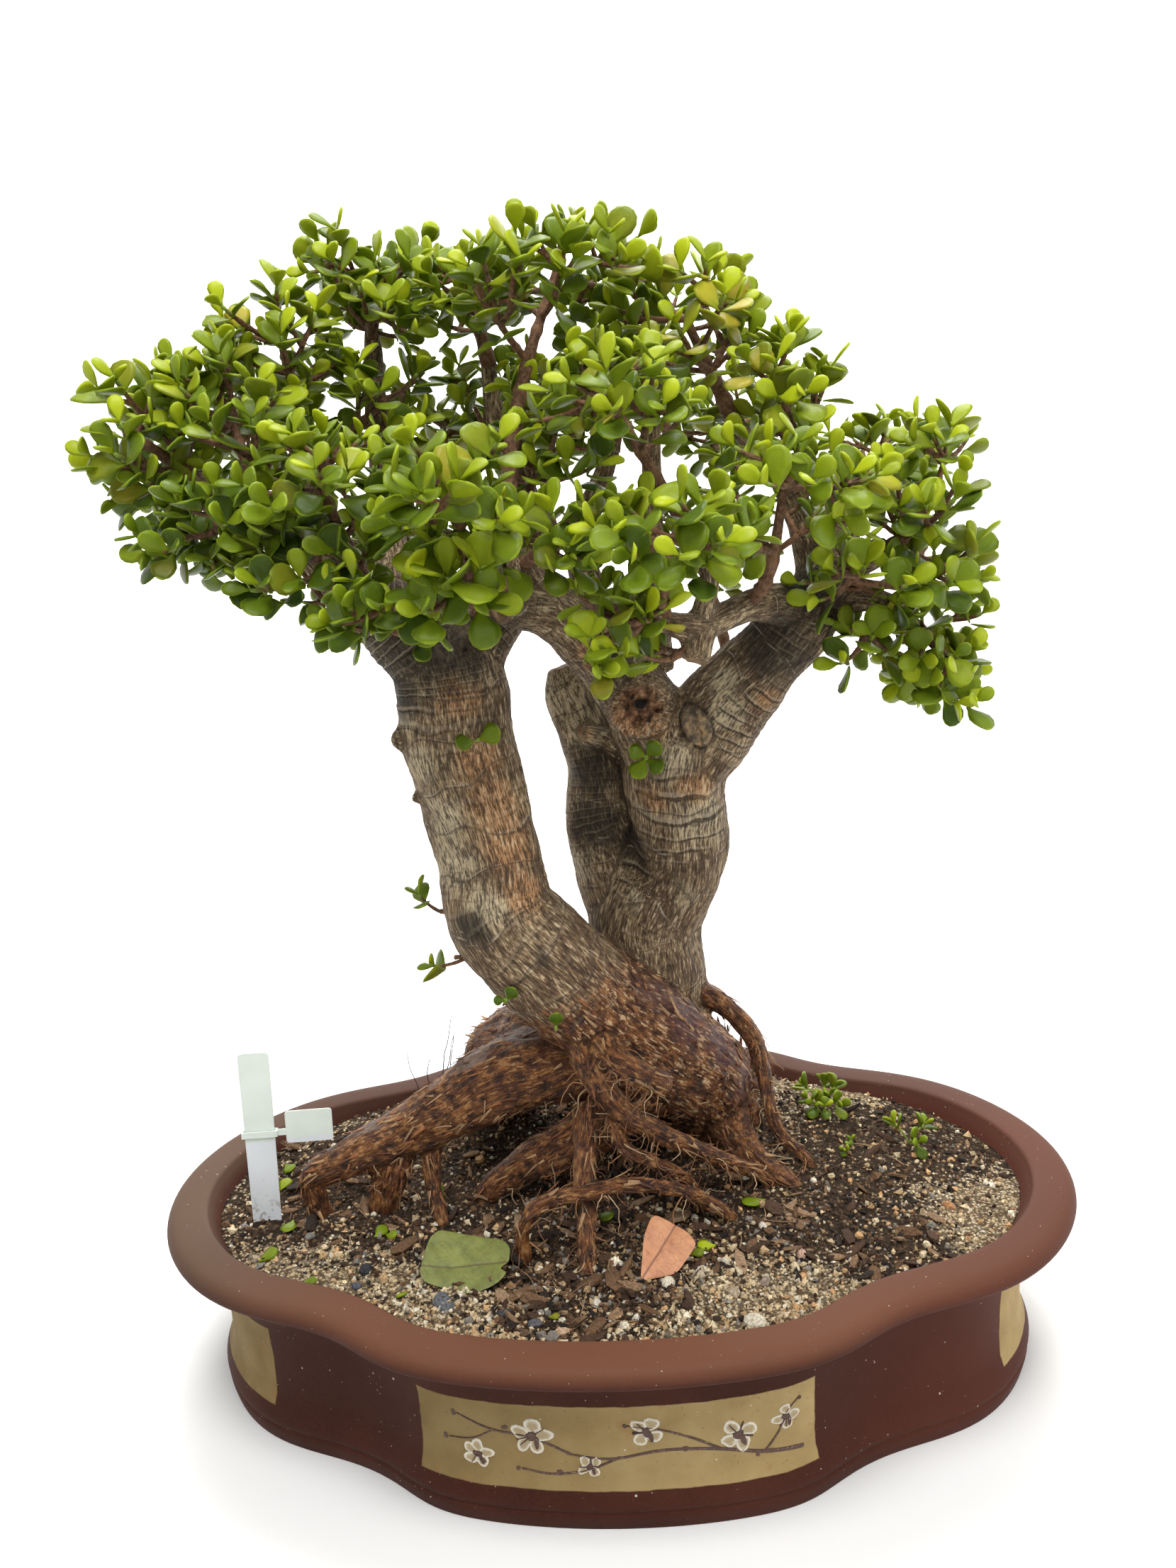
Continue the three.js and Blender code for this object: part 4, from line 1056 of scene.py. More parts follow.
height = wood_points[:, 2]
folded = 0.30 + 0.28 * clouds(wood_points, 38)
for centre, radius in FOLDED:
    folded = folded + 0.75 * near(wood_points, centre, radius)
folded = np.clip(folded, 0, 1) * np.clip(girth / 16, 0.25, 1)
spacing = np.clip(girth / 3.2, 4, WRINKLE_SPACING)
turns = grain[:, 2] / spacing + 0.6 * clouds(wood_points, 30) + 0.16 * clouds(wood_points, 9)
crease = np.exp(-(((fraction(turns) - 0.5) / 0.13) ** 2))
crease = crease * step_between(clouds(wood_points + 300, 26), -0.35, 0.25)
of_right_trunk = among(limb_of, RIGHT_TRUNK)
slanted_height = np.where(of_right_trunk, height + 78, height - 0.6 * wood_points[:, 0])
low_part = np.maximum(1 - step_between(slanted_height, 205, 288), is_root)
ridges = 1 - 2 * np.abs(clouds(wood_points, 8, 2))
fibres = clouds(grain * (1, 1, 0.12), 3.2)
flakes = clouds(grain * (1, 1, 0.22), 4.6, 2)
size = np.clip(girth / 20, 0.2, 1)
push = -1.5 * folded * crease + 0.55 * folded * np.cos(TURN * turns) * -1
push = push * clear_of_joint * (1 - 0.6 * low_part)
push += 0.38 * fibres * (0.4 + 0.6 * size) + 1.35 * flakes * low_part * (0.45 + 0.55 * size)
push += 0.8 * size * clouds(wood_points, 17, 2) + 0.5 * is_root * clouds(wood_points + 90, 7)
push += 0.5 * ridges * low_part * size - 2.4 * seam
print("carved by up to mm:", round(float(np.abs(push).max()), 2))

# %% [markdown]
# ### Knot and scar
# A large branch was sawn off in front: the wood curled in round the cut and left a deep hole. Next to
# it an oval scar has healed over. Both are pushed out of the even mesh along its normals, as a carver
# would add wax and take it away, because separate bodies would show a seam.

# %% The knot hole
KNOT = np.array([29.5, 0.0, 409.5])
KNOT_AXIS = unit(np.array([-0.12, -0.97, 0.2]))
HOLE_DEPTH = 9
from_knot = wood_points - KNOT
depth = from_knot @ KNOT_AXIS
ring = np.linalg.norm(from_knot - depth[:, None] * KNOT_AXIS, axis=1)
knot_zone = (1 - step_between(ring, 15, 24)) * (1 - step_between(np.abs(depth), 12, 22))
lumps = clouds(wood_points, 6.5, 2)
ring = ring + 3.6 * clouds(wood_points, 9) + 1.6 * lumps
callus = np.exp(-(((ring - 12) / 3.8) ** 2)) * 3.4 + 1.1 * np.cos(ring / 2.9 * TURN * 0.5)
callus = callus + 4.4 * lumps + 3.4 * near(wood_points, (43, 3, 418), 13)
callus = callus - 3.0 * near(wood_points, (44, 2, 400), 10) + 2.4 * near(wood_points, (20, 2, 402), 10)
slit = np.hypot(from_knot[:, 0] * 0.9, from_knot[:, 2] * 1.1) + 2.2 * clouds(wood_points, 5)
hollow = 1 - step_between(slit, 1.6, 5.6)
push = push * (1 - knot_zone) + callus * knot_zone
carved = wood_points + wood_normals * push[:, None]
carved -= KNOT_AXIS * (HOLE_DEPTH * hollow * knot_zone * (depth > -6))[:, None]
print("points in the hole:", int((hollow * knot_zone > 0.5).sum()))

# %% The healed scar
SCAR = np.array([63.0, 13.0, 393.0])
SCAR_RIGHT = unit(np.array([0.95, 0.15, 0.25])) / 8.5  # over half the scar's width
SCAR_UP = unit(np.array([-0.25, -0.2, 0.95])) / 12.5  # over half its height
from_scar = carved - SCAR
scar_ring = np.hypot(from_scar @ SCAR_RIGHT, from_scar @ SCAR_UP)
scar_zone = (np.linalg.norm(from_scar, axis=1) < 26) * 1.0
groove = np.exp(-(((scar_ring - 1) / 0.13) ** 2)) * scar_zone
swollen = np.exp(-(((scar_ring - 0.72) / 0.22) ** 2)) * scar_zone
carved += wood_normals * (0.9 * swollen - 1.5 * groove)[:, None]
wood.data.vertices.foreach_set("co", (carved * MM).astype(np.float32).ravel())
wood.data.update()
print("points on the scar:", int((scar_ring * scar_zone > 0).sum()))

# %% Where the skin is warm, pale or bare, and where painted shade darkens it
def spots(centres_and_radii):
    """1 within any of the spots, falling to 0 at their edge, which is made uneven."""
    uneven = carved + np.stack([6 * clouds(carved + shift, 14) for shift in (0, 70, 140)], 1)
    return np.max([near(uneven, centre, radius) for centre, radius in centres_and_radii], 0)


WARM_SPOTS = [
    ((-70, -18, 424), 20), ((-62, -16, 386), 20), ((-54, -18, 356), 26), ((-48, -20, 334), 22),
    ((-42, -24, 306), 18), ((22, 0, 398), 20), ((104, 10, 404), 12), ((62, 14, 356), 16),
    ((68, 18, 300), 10), ((118, 8, 462), 12), ((10, 10, 445), 20), ((-6, 41, 387), 9),
    ((40, 6, 392), 14), ((36, 22, 350), 14),
]
PALE_SPOTS = [
    ((-106, -8, 412), 11), ((-98, -14, 384), 15), ((-88, -20, 352), 22), ((-86, -20, 322), 22),
    ((81, 9, 401), 14), ((46, 12, 375), 18), ((-16, 44, 410), 34), ((-8, 42, 392), 24),
    ((66, 10, 336), 26), ((74, 10, 422), 12), ((-12, 44, 300), 16), ((82, 12, 418), 14),
    ((76, 16, 330), 22), ((-64, -30, 300), 18), ((54, 10, 284), 20), ((44, 12, 258), 14),
    ((20, 18, 282), 12),
]
# Painted shade: places on the bark under the crown, in the forks and behind the limbs, darkened as if
# shaded.
PAINTED_SHADE_SPOTS = [
    ((-98, -12, 464), 46), ((-112, 2, 436), 26), ((110, 12, 438), 28), ((-74, -16, 450), 38),
    ((-104, -6, 424), 20),
    ((-52, 0, 468), 34), ((106, 8, 448), 32), ((-4, 42, 362), 26), ((-2, 45, 330), 26),
    ((26, 40, 312), 22), ((-52, -12, 400), 12), ((-74, -30, 288), 15), ((-34, -24, 268), 12),
    ((128, 6, 470), 26), ((20, 12, 436), 18), ((-120, -6, 470), 26),
]
# Where the old skin has gone and the smooth purple one shows: along the top of the leaning foot.
BARE_SPOTS = [((34, -4, 238), 18), ((54, -2, 216), 24), ((78, 6, 194), 24), ((92, 12, 164), 22)]
print("spots:", [len(table) for table in (WARM_SPOTS, PALE_SPOTS, PAINTED_SHADE_SPOTS, BARE_SPOTS)])

# %% The marks that the bark's finish reads
on_plate = among(limb_of, ("plate", "back_left", "arch"))
on_plate = on_plate * (1 - 0.65 * step_between(wood_points[:, 0], -80, -45))
near_root = 1 - step_between(np.where(of_right_trunk, slanted_height + 20, slanted_height), 235, 345)
marks = {
    "grain": grain,
    "near_root": near_root,
    "seam": seam,
    "turns": turns,
    "fold": np.clip(folded, 0, 1) * clear_of_joint * (1 - 0.7 * low_part),
    "clear": clear_of_joint,
    # Grey on the upward faces of the plate: partly weathered skin, partly a painted sheen.
    "weathered": on_plate * step_between(wood_normals[:, 2], 0.82, 0.97),
    "bare": spots(BARE_SPOTS),
    "low": low_part,
    "warm": spots(WARM_SPOTS),
    "pale": spots(PALE_SPOTS),
    # The mark dark is painted shade from the spots above.
    "dark": spots(PAINTED_SHADE_SPOTS),
    "knot": np.maximum(knot_zone * step_between(-ring, -15, -9), 0),
    "hole": hollow * knot_zone,
    "scar": scar_zone,
    "cut": np.zeros(len(carved)),
    "redness": is_root,
}
for limb_name in CUT_FLAT[:-1]:
    line, radii = wood_lines[limb_name]
    outward = unit(line[-1] - line[-2])
    beyond = (carved - line[-1]) @ outward
    close = np.linalg.norm(carved - line[-1], axis=1) < radii[-1] * 1.25
    marks["cut"] = np.maximum(marks["cut"], step_between(beyond, -1.6, 0.4) * close)
    if limb_name == "rear_spur":
        # The core of the spur's cut face takes the hole mark, so it is painted almost black like the knot
        # hole.
        core = np.linalg.norm(carved - line[-1] - beyond[:, None] * outward, axis=1)
        black_core = (1 - step_between(core, 1.5, 4)) * marks["cut"] * close
        marks["hole"] = np.maximum(marks["hole"], black_core)
for mark_name, values in marks.items():
    add_mark(wood, mark_name, values)
print("marks on the wood:", ", ".join(marks))

# %% [markdown]
# ### Bark
# The skin of a jade trunk is thin and papery: grey where the sun dried it, orange-brown where a
# flake has come off, and purple-red with tan scales near the roots. The fibres run along each limb,
# so their noise is squeezed in the limb's own directions, which the mesh carries as a vector. One
# noise in plain space would run the same way through every limb and give the trick away.


# %% Bark: the two skins
def old_skin(skin, cloud, threads, flecks):
    """Grey-brown skin: threads run along the limb over darker ground, with painted shade where the crown
    shades it.
    """
    # Painted shade: the mark dark darkens the ground, the gaps and the threads where the crown shades the
    # bark.
    dark = skin.mark("dark")
    ground = skin.ramp(cloud, (0.3, (0.13, 0.082, 0.045)), (0.5, (0.225, 0.150, 0.080)),
                       (0.7, (0.35, 0.255, 0.145)))
    gap_colour = skin.blend(dark, (0.036, 0.022, 0.013), (0.012, 0.009, 0.006))
    thread_colour = skin.blend(dark, (0.68, 0.54, 0.34), (0.125, 0.105, 0.066))
    return skin.layers(
        ground,
        (skin.mark("near_root") * 0.55, (0.175, 0.088, 0.040)),
        (skin.mark("pale") * 0.80, (0.56, 0.465, 0.300)),
        (skin.mark("warm") * 0.62, (0.54, 0.265, 0.105)),
        (dark * 0.90, (0.030, 0.024, 0.014)),
        ((1 - skin.between(flecks, 0.38, 0.51)) * 0.7, (0.070, 0.038, 0.022)),
        ((1 - skin.between(threads, 0.42, 0.53)) * 0.86, gap_colour),
        (skin.between(threads, 0.53, 0.61) * 0.68, thread_colour),
        # Painted shade in the carved seam where the two stems grew together.
        (skin.mark("seam") * 0.85, (0.020, 0.013, 0.009)))


def root_skin(skin, patches, flecks, threads):
    """Purple-brown to rust, with tan flakes that are lifting off, and grey with a painted sheen on the
    upward faces of the plate.
    """
    tone = threads * 0.62 + patches * 0.38
    ground = skin.ramp(tone, (0.41, (0.017, 0.008, 0.005)), (0.48, (0.075, 0.026, 0.011)),
                       (0.55, (0.195, 0.074, 0.022)), (0.62, (0.40, 0.185, 0.062)))
    flake = skin.between(flecks + (patches - 0.5) * 0.35, 0.55, 0.61)
    flake = flake * (1 - skin.mark("bare") * 0.55)
    tan = skin.blend(skin.mark("redness"), (0.60, 0.41, 0.23), (0.46, 0.245, 0.095))
    grey = skin.blend(threads, (0.050, 0.032, 0.027), (0.27, 0.21, 0.17))
    return skin.layers(
        ground,
        (skin.mark("bare") * 0.7, (0.085, 0.034, 0.036)),
        (flake * (0.85 - skin.mark("redness") * 0.25), tan),
        # Weathered grey and painted sheen on the tops of the plate.
        (skin.mark("weathered") * 0.85, grey))


print("skins:", old_skin.__name__, "and", root_skin.__name__)

# %% Bark: folds, the burl and the healed scar
def add_folds(skin, colour, crease, crest_highlight, ring, shadow_under_ring):
    """Painted shade in the creases, a painted highlight on the ridge above, and here and there a thin pale
    ring with a painted shadow under it.
    """
    return skin.layers(
        colour,
        (crest_highlight * 0.38, (0.46, 0.38, 0.27)),
        (shadow_under_ring, (0.06, 0.04, 0.026)),
        (ring * 0.55, (0.56, 0.48, 0.36)),
        (crease * 0.75, (0.040, 0.027, 0.017)))


def add_burl(skin, colour, curls):
    """Curled orange-brown wood round the knot hole, and painted shade, almost black, in the hole itself.
    """
    burl = skin.ramp(curls, (0.36, (0.028, 0.015, 0.009)), (0.48, (0.15, 0.068, 0.032)),
                     (0.62, (0.36, 0.19, 0.095)), (0.75, (0.62, 0.43, 0.26)))
    # Painted shade: the carved hole is painted almost black.
    hole_shade = skin.between(skin.mark("hole") + (curls - 0.5) * 1.5, 0.35, 0.65)
    return skin.layers(colour, (skin.mark("knot") * 0.92, burl), (hole_shade, (0.004, 0.003, 0.002)))


def add_scar(skin, colour, place, curls, patches):
    """A branch once stood here: an oval of grey and tan wood, ringed by a groove with painted shade in it.
    """
    ring = skin.oval(place, tuple(SCAR), tuple(SCAR_RIGHT), tuple(SCAR_UP)) + (curls - 0.5) * 0.22
    healed = (1 - skin.between(ring, 0.86, 0.96)) * skin.mark("scar")
    face = skin.ramp(patches * 0.6 + curls * 0.4, (0.42, (0.10, 0.078, 0.058)),
                     (0.50, (0.22, 0.16, 0.10)), (0.58, (0.42, 0.27, 0.13)))
    crack = skin.line(curls * 0.7 + patches * 0.9, 0.045) * healed * 0.7
    # Painted shade in the groove round the scar.
    groove_shade = skin.between(ring, 0.84, 0.93) * (1 - skin.between(ring, 1.0, 1.12))
    groove_shade = groove_shade * skin.between(patches, 0.36, 0.54)
    return skin.layers(
        colour,
        (healed, face),
        (crack, (0.05, 0.030, 0.018)),
        (groove_shade * skin.mark("scar") * 0.9, (0.026, 0.016, 0.010)))


print("on top of the skins:", add_folds.__name__, add_burl.__name__, add_scar.__name__)

# %% Bark: all of it
# Threads, fibres and flecks: how far each is drawn out along the limb, size, detail and roughness.
STREAKS = [(0.17, 1.0, 4, 0.62), (0.20, 2.8, 4, 0.66), (0.28, 2.0, 5, 0.70)]


def bark():
    skin = Finish("jade_bark")
    place = skin.place()
    along_limb = skin.mark("grain", "Vector")
    arc = skin.axis(along_limb, "Z")
    threads, fibres, flecks = [
        skin.noise(skin.stretch(along_limb, (1, 1, squeeze)), size, detail, rough)
        for squeeze, size, detail, rough in STREAKS]
    sway = skin.noise(place, 45, detail=1)
    cloud = skin.noise(place, 30, detail=4)
    patches = skin.noise(place, 8, detail=4, rough=0.65)
    curls = skin.noise(place, 4.2, detail=3, rough=0.55)
    mixed = threads * 0.6 + fibres * 0.4
    low = skin.between(skin.mark("low") + (patches - 0.5) * 0.9, 0.35, 0.65)
    colour = skin.blend(low, old_skin(skin, cloud, mixed, flecks),
                        root_skin(skin, patches, flecks, mixed))
    turns = skin.mark("turns")
    shake = (fibres - 0.5) * 0.12
    folds = skin.mark("fold") * skin.between(cloud, 0.36, 0.5)
    # Painted shade in each crease, and a painted highlight on the ridge above it.
    crease = skin.line(turns + 0.5 + shake, 0.10) * folds
    crest_highlight = skin.line(turns + 0.31 + shake, 0.14) * folds
    way = arc * (1 / 27) + sway * 1.6 + threads * 0.02
    on_old = skin.mark("clear") * (1 - low)
    ring = skin.line(way, 0.022) * on_old * skin.between(patches, 0.46, 0.62)
    # A painted shadow under each pale ring.
    shadow_under_ring = skin.line(way + 0.04, 0.045) * on_old * 0.5
    colour = add_folds(skin, colour, crease, crest_highlight, ring, shadow_under_ring)
    colour = add_burl(skin, colour, curls)
    colour = add_scar(skin, colour, place, curls, patches)
    end_wood = skin.ramp(curls, (0.35, (0.14, 0.080, 0.042)), (0.65, (0.36, 0.23, 0.12)))
    colour = skin.blend(skin.mark("cut") * 0.85, colour, end_wood)
    relief = mixed * (0.8 + low * 0.7) + flecks * 0.45 + patches * 0.4 - crease * 0.8 + ring * 0.3
    rough = 0.70 - low * 0.30 + threads * 0.14
    return skin.done(Base_Color=colour, Roughness=rough, Specular_IOR_Level=0.32,
                     Normal=skin.bumps(relief, 2.1, 1.0))


jade_bark = bark()
wood.data.materials.append(jade_bark)
dress(wood, ["trunk"])
print("wood triangles:", triangles["old_wood"], "nodes:", len(jade_bark.node_tree.nodes))

# %% [markdown]
# ## Leaves
# A jade leaf is thick and round, widest beyond its middle, narrow at its foot, with a thin pale edge
# and a soft shine. One flat card per leaf would look like paper when seen from the side, so each
# leaf is a closed lens of rings. It is slightly cupped and bent, no two the same. All the leaves of
# a bough are computed together as arrays: the same formula, with one row of numbers for each leaf.

# %% The shape of one leaf
LEAF_ROWS = np.array([0, 0.14, 0.32, 0.52, 0.72, 0.89, 0.985])
LEAF_CORNERS = 6
LEAF_HALF_THICKNESS = 1.15
WIDEST = 0.64


def leaf_half_width(t):
    """Half the width at each part of the length, where 1 is the widest."""
    inner = 0.14 + 0.86 * np.sin(np.pi / 2 * (np.minimum(t, WIDEST) / WIDEST) ** 0.9) ** 2
    outer = np.sqrt(1 - (np.maximum(t - WIDEST, 0) / (1 - WIDEST)) ** 2) ** 0.85
    return np.minimum(inner, outer)


def leaf_grid():
    """For the points of a leaf: part of the length, side, height, and whether on the edge."""
    angles = around(LEAF_CORNERS)
    t = np.repeat(LEAF_ROWS, LEAF_CORNERS)
    wide = leaf_half_width(t)
    side = wide * np.tile(np.cos(angles), len(LEAF_ROWS))
    up = np.sqrt(wide) * np.tile(np.sin(angles), len(LEAF_ROWS))
    edge = np.maximum(np.tile(np.abs(np.cos(angles)), len(LEAF_ROWS)) ** 2, t > 0.95)
    return [np.append(values, ends) for values, ends in
            ((t, [0, 1]), (side, [0, 0]), (up, [0, 0]), (edge, [0, 1]))]


LEAF_T, LEAF_SIDE, LEAF_UP, LEAF_EDGE = leaf_grid()
LEAF_FACES = closed_rings(np.zeros((len(LEAF_ROWS), LEAF_CORNERS, 3)), (0, 0, 0), (0, 0, 0))[1]
print("points of a leaf:", len(LEAF_T))


# %% Many leaves at once
def leaf_bodies(leaves):
    """Points of all leaves. Each leaf is a dict of vectors and numbers."""
    columns = {name: np.array([leaf[name] for leaf in leaves], float) for name in leaves[0]}
    length, wide, cup = [columns[name][:, None] for name in ("length", "wide", "cup")]
    bend, twist = [columns[name][:, None] for name in ("bend", "twist")]
    turn = twist * LEAF_T
    side = LEAF_SIDE * wide * np.cos(turn) - LEAF_UP * LEAF_HALF_THICKNESS * np.sin(turn)
    up = LEAF_UP * LEAF_HALF_THICKNESS * np.cos(turn) + LEAF_SIDE * wide * np.sin(turn)
    up = up + cup * wide * LEAF_SIDE**2 + bend * length * LEAF_T**2
    far = LEAF_T * length
    return (columns["root"][:, None] + far[..., None] * columns["axis"][:, None]
            + side[..., None] * columns["side"][:, None] + up[..., None] * columns["above"][:, None])


def add_leaves(heap, leaves, finish=0):
    points = leaf_bodies(leaves)
    count, each = points.shape[:2]
    faces = [[first + corner for corner in face] for first in range(0, count * each, each)
             for face in LEAF_FACES]
    heap.add(points.reshape(-1, 3), faces, finish, rim=np.tile(LEAF_EDGE, count),
             tone=np.repeat([leaf["tone"] for leaf in leaves], each),
             blush=np.repeat([leaf["blush"] for leaf in leaves], each), along=np.tile(LEAF_T, count))


print("faces of a leaf:", len(LEAF_FACES))

# %% [markdown]
# ### Leaf and twig finishes
# The green is deep in the old leaves and lime in the young tips, and a few leaves turn yellow. The
# tone also carries painted light and shade: deeper low on the left, at the back and inside the
# crown, lighter on top. Each leaf carries its tone and blush as values, so one material colours
# them all. A twig is brown and ringed where old leaves fell, and turns green near its tip.


# %% Leaf finish
def leaf_skin():
    skin = Finish("jade_leaf")
    place = skin.place()
    mottle = skin.noise(place, 3.5, detail=3)
    along = skin.mark("along")
    green = skin.ramp(skin.mark("tone") + (mottle - 0.5) * 0.12, (0.0, (0.020, 0.042, 0.004)),
                      (0.35, (0.062, 0.104, 0.005)), (0.65, (0.150, 0.208, 0.007)),
                      (1.0, (0.370, 0.430, 0.010)))
    middle = 1 - skin.between(abs(along - 0.62), 0.05, 0.5) * 0.7
    green = skin.layers(
        green,
        (skin.mark("blush") * middle * (0.55 + mottle * 0.5), (0.40, 0.31, 0.030)),
        ((1 - skin.between(along, 0.0, 0.5)) * 0.35, (0.24, 0.32, 0.010)),
        (skin.between(skin.mark("rim"), 0.72, 1.0) * 0.42, (0.32, 0.41, 0.018)),
        (skin.between(skin.noise(place, 0.9, detail=1), 0.60, 0.75) * 0.14, (0.34, 0.40, 0.025)))
    rough = 0.28 + skin.noise(place, 6) * 0.2
    return skin.done(Base_Color=green, Roughness=rough, Specular_IOR_Level=0.18,
                     Normal=skin.bumps(mottle, 0.35, 0.6))


leaf_finish = leaf_skin()
print("nodes of the leaf finish:", len(leaf_finish.node_tree.nodes))

# %% Twig finish
def twig_skin():
    skin = Finish("jade_twig")
    mottle = skin.noise(skin.place(), 2.2, detail=4, rough=0.7)
    brown = skin.ramp(mottle, (0.36, (0.038, 0.022, 0.013)), (0.5, (0.115, 0.066, 0.038)),
                      (0.66, (0.27, 0.165, 0.095)))
    brown = skin.layers(
        brown,
        (skin.mark("blush") * 0.5, (0.21, 0.085, 0.038)),
        (skin.mark("rim") * 0.6, (0.28, 0.155, 0.085)),
        (skin.between(skin.mark("tone"), 0.55, 1.0), (0.22, 0.31, 0.045)))
    return skin.done(Base_Color=brown, Roughness=0.66 + mottle * 0.2, Specular_IOR_Level=0.25,
                     Normal=skin.bumps(mottle + skin.mark("rim") * 0.4, 1.2, 1.0))


twig_finish = twig_skin()
print("nodes of the twig finish:", len(twig_finish.node_tree.nodes))

# %% [markdown]
# ## Boughs
# Each bough is a stem from the old wood into its own cloud of leaves. The clouds are the measured
# model's, and so is the rule that grows them: a twig ends at an evenly spread place of the cloud, and
# starts from the part of the bough that is the least way back. Here the rule runs on for more twigs,
# until the cloud is full, and skips a twig whose leaves would push into those that are there already.

# %% Where the boughs grow
# Each bough: the radius of its stem, places along the stem, and the half sizes of its cloud.
BOUGHS = {
    "bough_left_tip": (5, [(-194, -23, 541), (-207, -25, 552), (-232, -22, 571)], (33, 48, 36)),
    "bough_left_middle": (4.5, [(-168, -15, 522), (-175, -14, 546), (-184, -8, 577)], (42, 56, 40)),
    "bough_left_low": (4, [(-180, -18, 530), (-184, -36, 526), (-184, -56, 520)], (36, 46, 28)),
    "bough_left_up": (5, [(-132, 0, 486), (-150, 22, 540), (-165, 36, 624)], (36, 50, 34)),
    "bough_left_top": (4.5, [(-121, 79, 630), (-121, 88, 664)], (46, 52, 30)),
    "bough_left_front": (5, [(-110, 8, 464), (-117, -22, 490), (-124, -66, 536)], (38, 50, 34)),
    "bough_left_under": (3.8, [(-88, 10, 448), (-92, -26, 462), (-92, -72, 480)], (40, 40, 22)),
    "bough_left_far": (4.4, [(-150, -8, 509), (-162, 16, 530), (-186, 76, 576)], (44, 48, 36)),
    "bough_left_back": (4.2, [(-112, 12, 466), (-122, 46, 480), (-136, 112, 518)], (46, 48, 30)),
    "bough_front": (5, [(-58, 28, 456), (-59, -20, 484), (-50, -116, 528)], (33, 44, 34)),
    "bough_top": (5, [(-39, 4, 526), (-26, 8, 590), (-4, 16, 648)], (60, 72, 24)),
    "bough_top_left": (4.8, [(-51, 79, 608), (-60, 78, 652)], (38, 50, 26)),
    "bough_middle_front": (3.8, [(60, -67, 504), (24, -62, 570)], (46, 58, 28)),
    "bough_inner": (4, [(46, 75, 590), (34, 66, 596), (2, 40, 590)], (40, 40, 28)),
    "bough_back_left": (4.5, [(-31, 56, 520), (-42, 76, 534), (-62, 120, 578)], (44, 48, 40)),
    "bough_back": (5, [(21, 89, 556), (26, 118, 608)], (46, 50, 34)),
    "bough_front_low": (3.6, [(46, -67, 462), (44, -80, 474), (48, -116, 505)], (46, 46, 22)),
    "bough_front_hanging": (3, [(41, -72, 464), (9, -94, 453)], (18, 20, 16)),
    "bough_top_right": (4.8, [(91, 48, 570), (66, 34, 622)], (44, 60, 32)),
    "bough_right_top": (4.5, [(127, 38, 514), (130, 32, 536), (116, 14, 576)], (30, 52, 34)),
    "bough_right_front": (4, [(91, -19, 464), (101, -36, 480), (108, -58, 526)], (46, 54, 34)),
    "bough_right": (4.8, [(166, -5, 488), (178, -9, 496), (194, -14, 520)], (34, 52, 36)),
    "bough_right_low": (3.8, [(180, 0, 454), (200, 2, 432)], (34, 38, 38)),
    "bough_right_back": (4.4, [(151, 26, 502), (164, 50, 510), (178, 84, 530)], (42, 48, 36)),
    "bough_back_right": (4.4, [(116, 42, 536), (112, 66, 544), (104, 116, 570)], (48, 50, 34)),
    "bough_back_low": (4.4, [(80, 36, 398), (86, 78, 430), (72, 118, 498)], (46, 44, 30)),
}
# Each shoot: the radius of its stem, places along the stem, and the end of its only twig.
SHOOTS = {
    "shoot_left_upper": (1.8, [(-70, 2, 288), (-96, 0, 290)], (-108, 0, 301)),
    "shoot_left_lower": (1.6, [(-66, 0, 262), (-89, -2, 261)], (-101, -5, 257)),
}
# The real crown is fuller than the model's boughs: these thinner ones fill the gaps between them.
FILLING = {
    "left_inner": (3, [(-150, -8, 509), (-140, 30, 560), (-112, 60, 592)], (32, 44, 34)),
    "left_inner_high": (3, [(-121, 79, 628), (-118, 60, 636)], (30, 40, 24)),
    "left_skirt": (3.4, [(-96, 10, 452), (-112, -30, 470), (-130, -62, 496)], (38, 36, 32)),
    "left_edge": (3, [(-203, -26, 549), (-216, -26, 547), (-226, -20, 545)], (24, 42, 20)),
    "left_low_outer": (3, [(-180, -18, 530), (-186, -30, 512), (-190, -40, 502)], (28, 44, 18)),
    "left_upper_edge": (3, [(-184, -8, 577), (-196, 8, 594), (-206, 14, 600)], (24, 42, 20)),
    "middle_skirt": (3.4, [(-40, 8, 476), (-50, -40, 480), (-56, -96, 486)], (34, 38, 28)),
    "middle_low": (3.4, [(-34, 8, 491), (-20, -30, 500), (-6, -72, 508)], (42, 44, 28)),
    "inner_low": (3, [(-36, 6, 510), (-24, 30, 540), (-16, 40, 552)], (42, 46, 28)),
    "front_skirt": (2.6, [(38, -75, 465), (26, -82, 464), (14, -76, 470)], (34, 26, 20)),
    "front_drop": (2.6, [(60, -60, 450), (48, -58, 442)], (20, 24, 14)),
    "right_skirt": (3, [(141, 24, 472), (146, 0, 478), (148, -24, 476)], (40, 38, 20)),
    "right_low_outer": (3, [(166, -5, 488), (184, -14, 484), (198, -16, 480)], (32, 44, 20)),
    "right_hanging": (2.6, [(184, 0, 452), (202, 2, 430), (206, 0, 410)], (26, 32, 26)),
    "right_low_inner": (2.6, [(166, 4, 462), (159, -6, 448), (154, -12, 438)], (22, 28, 16)),
}

print("boughs, shoots and fillings:", len(BOUGHS), len(SHOOTS), len(FILLING))

# %% The crown's edge, gaps and sunny places
CANOPY_HALF_DEPTH = 181
CROWN_TOP = measured_box[1][2] / MM - 1
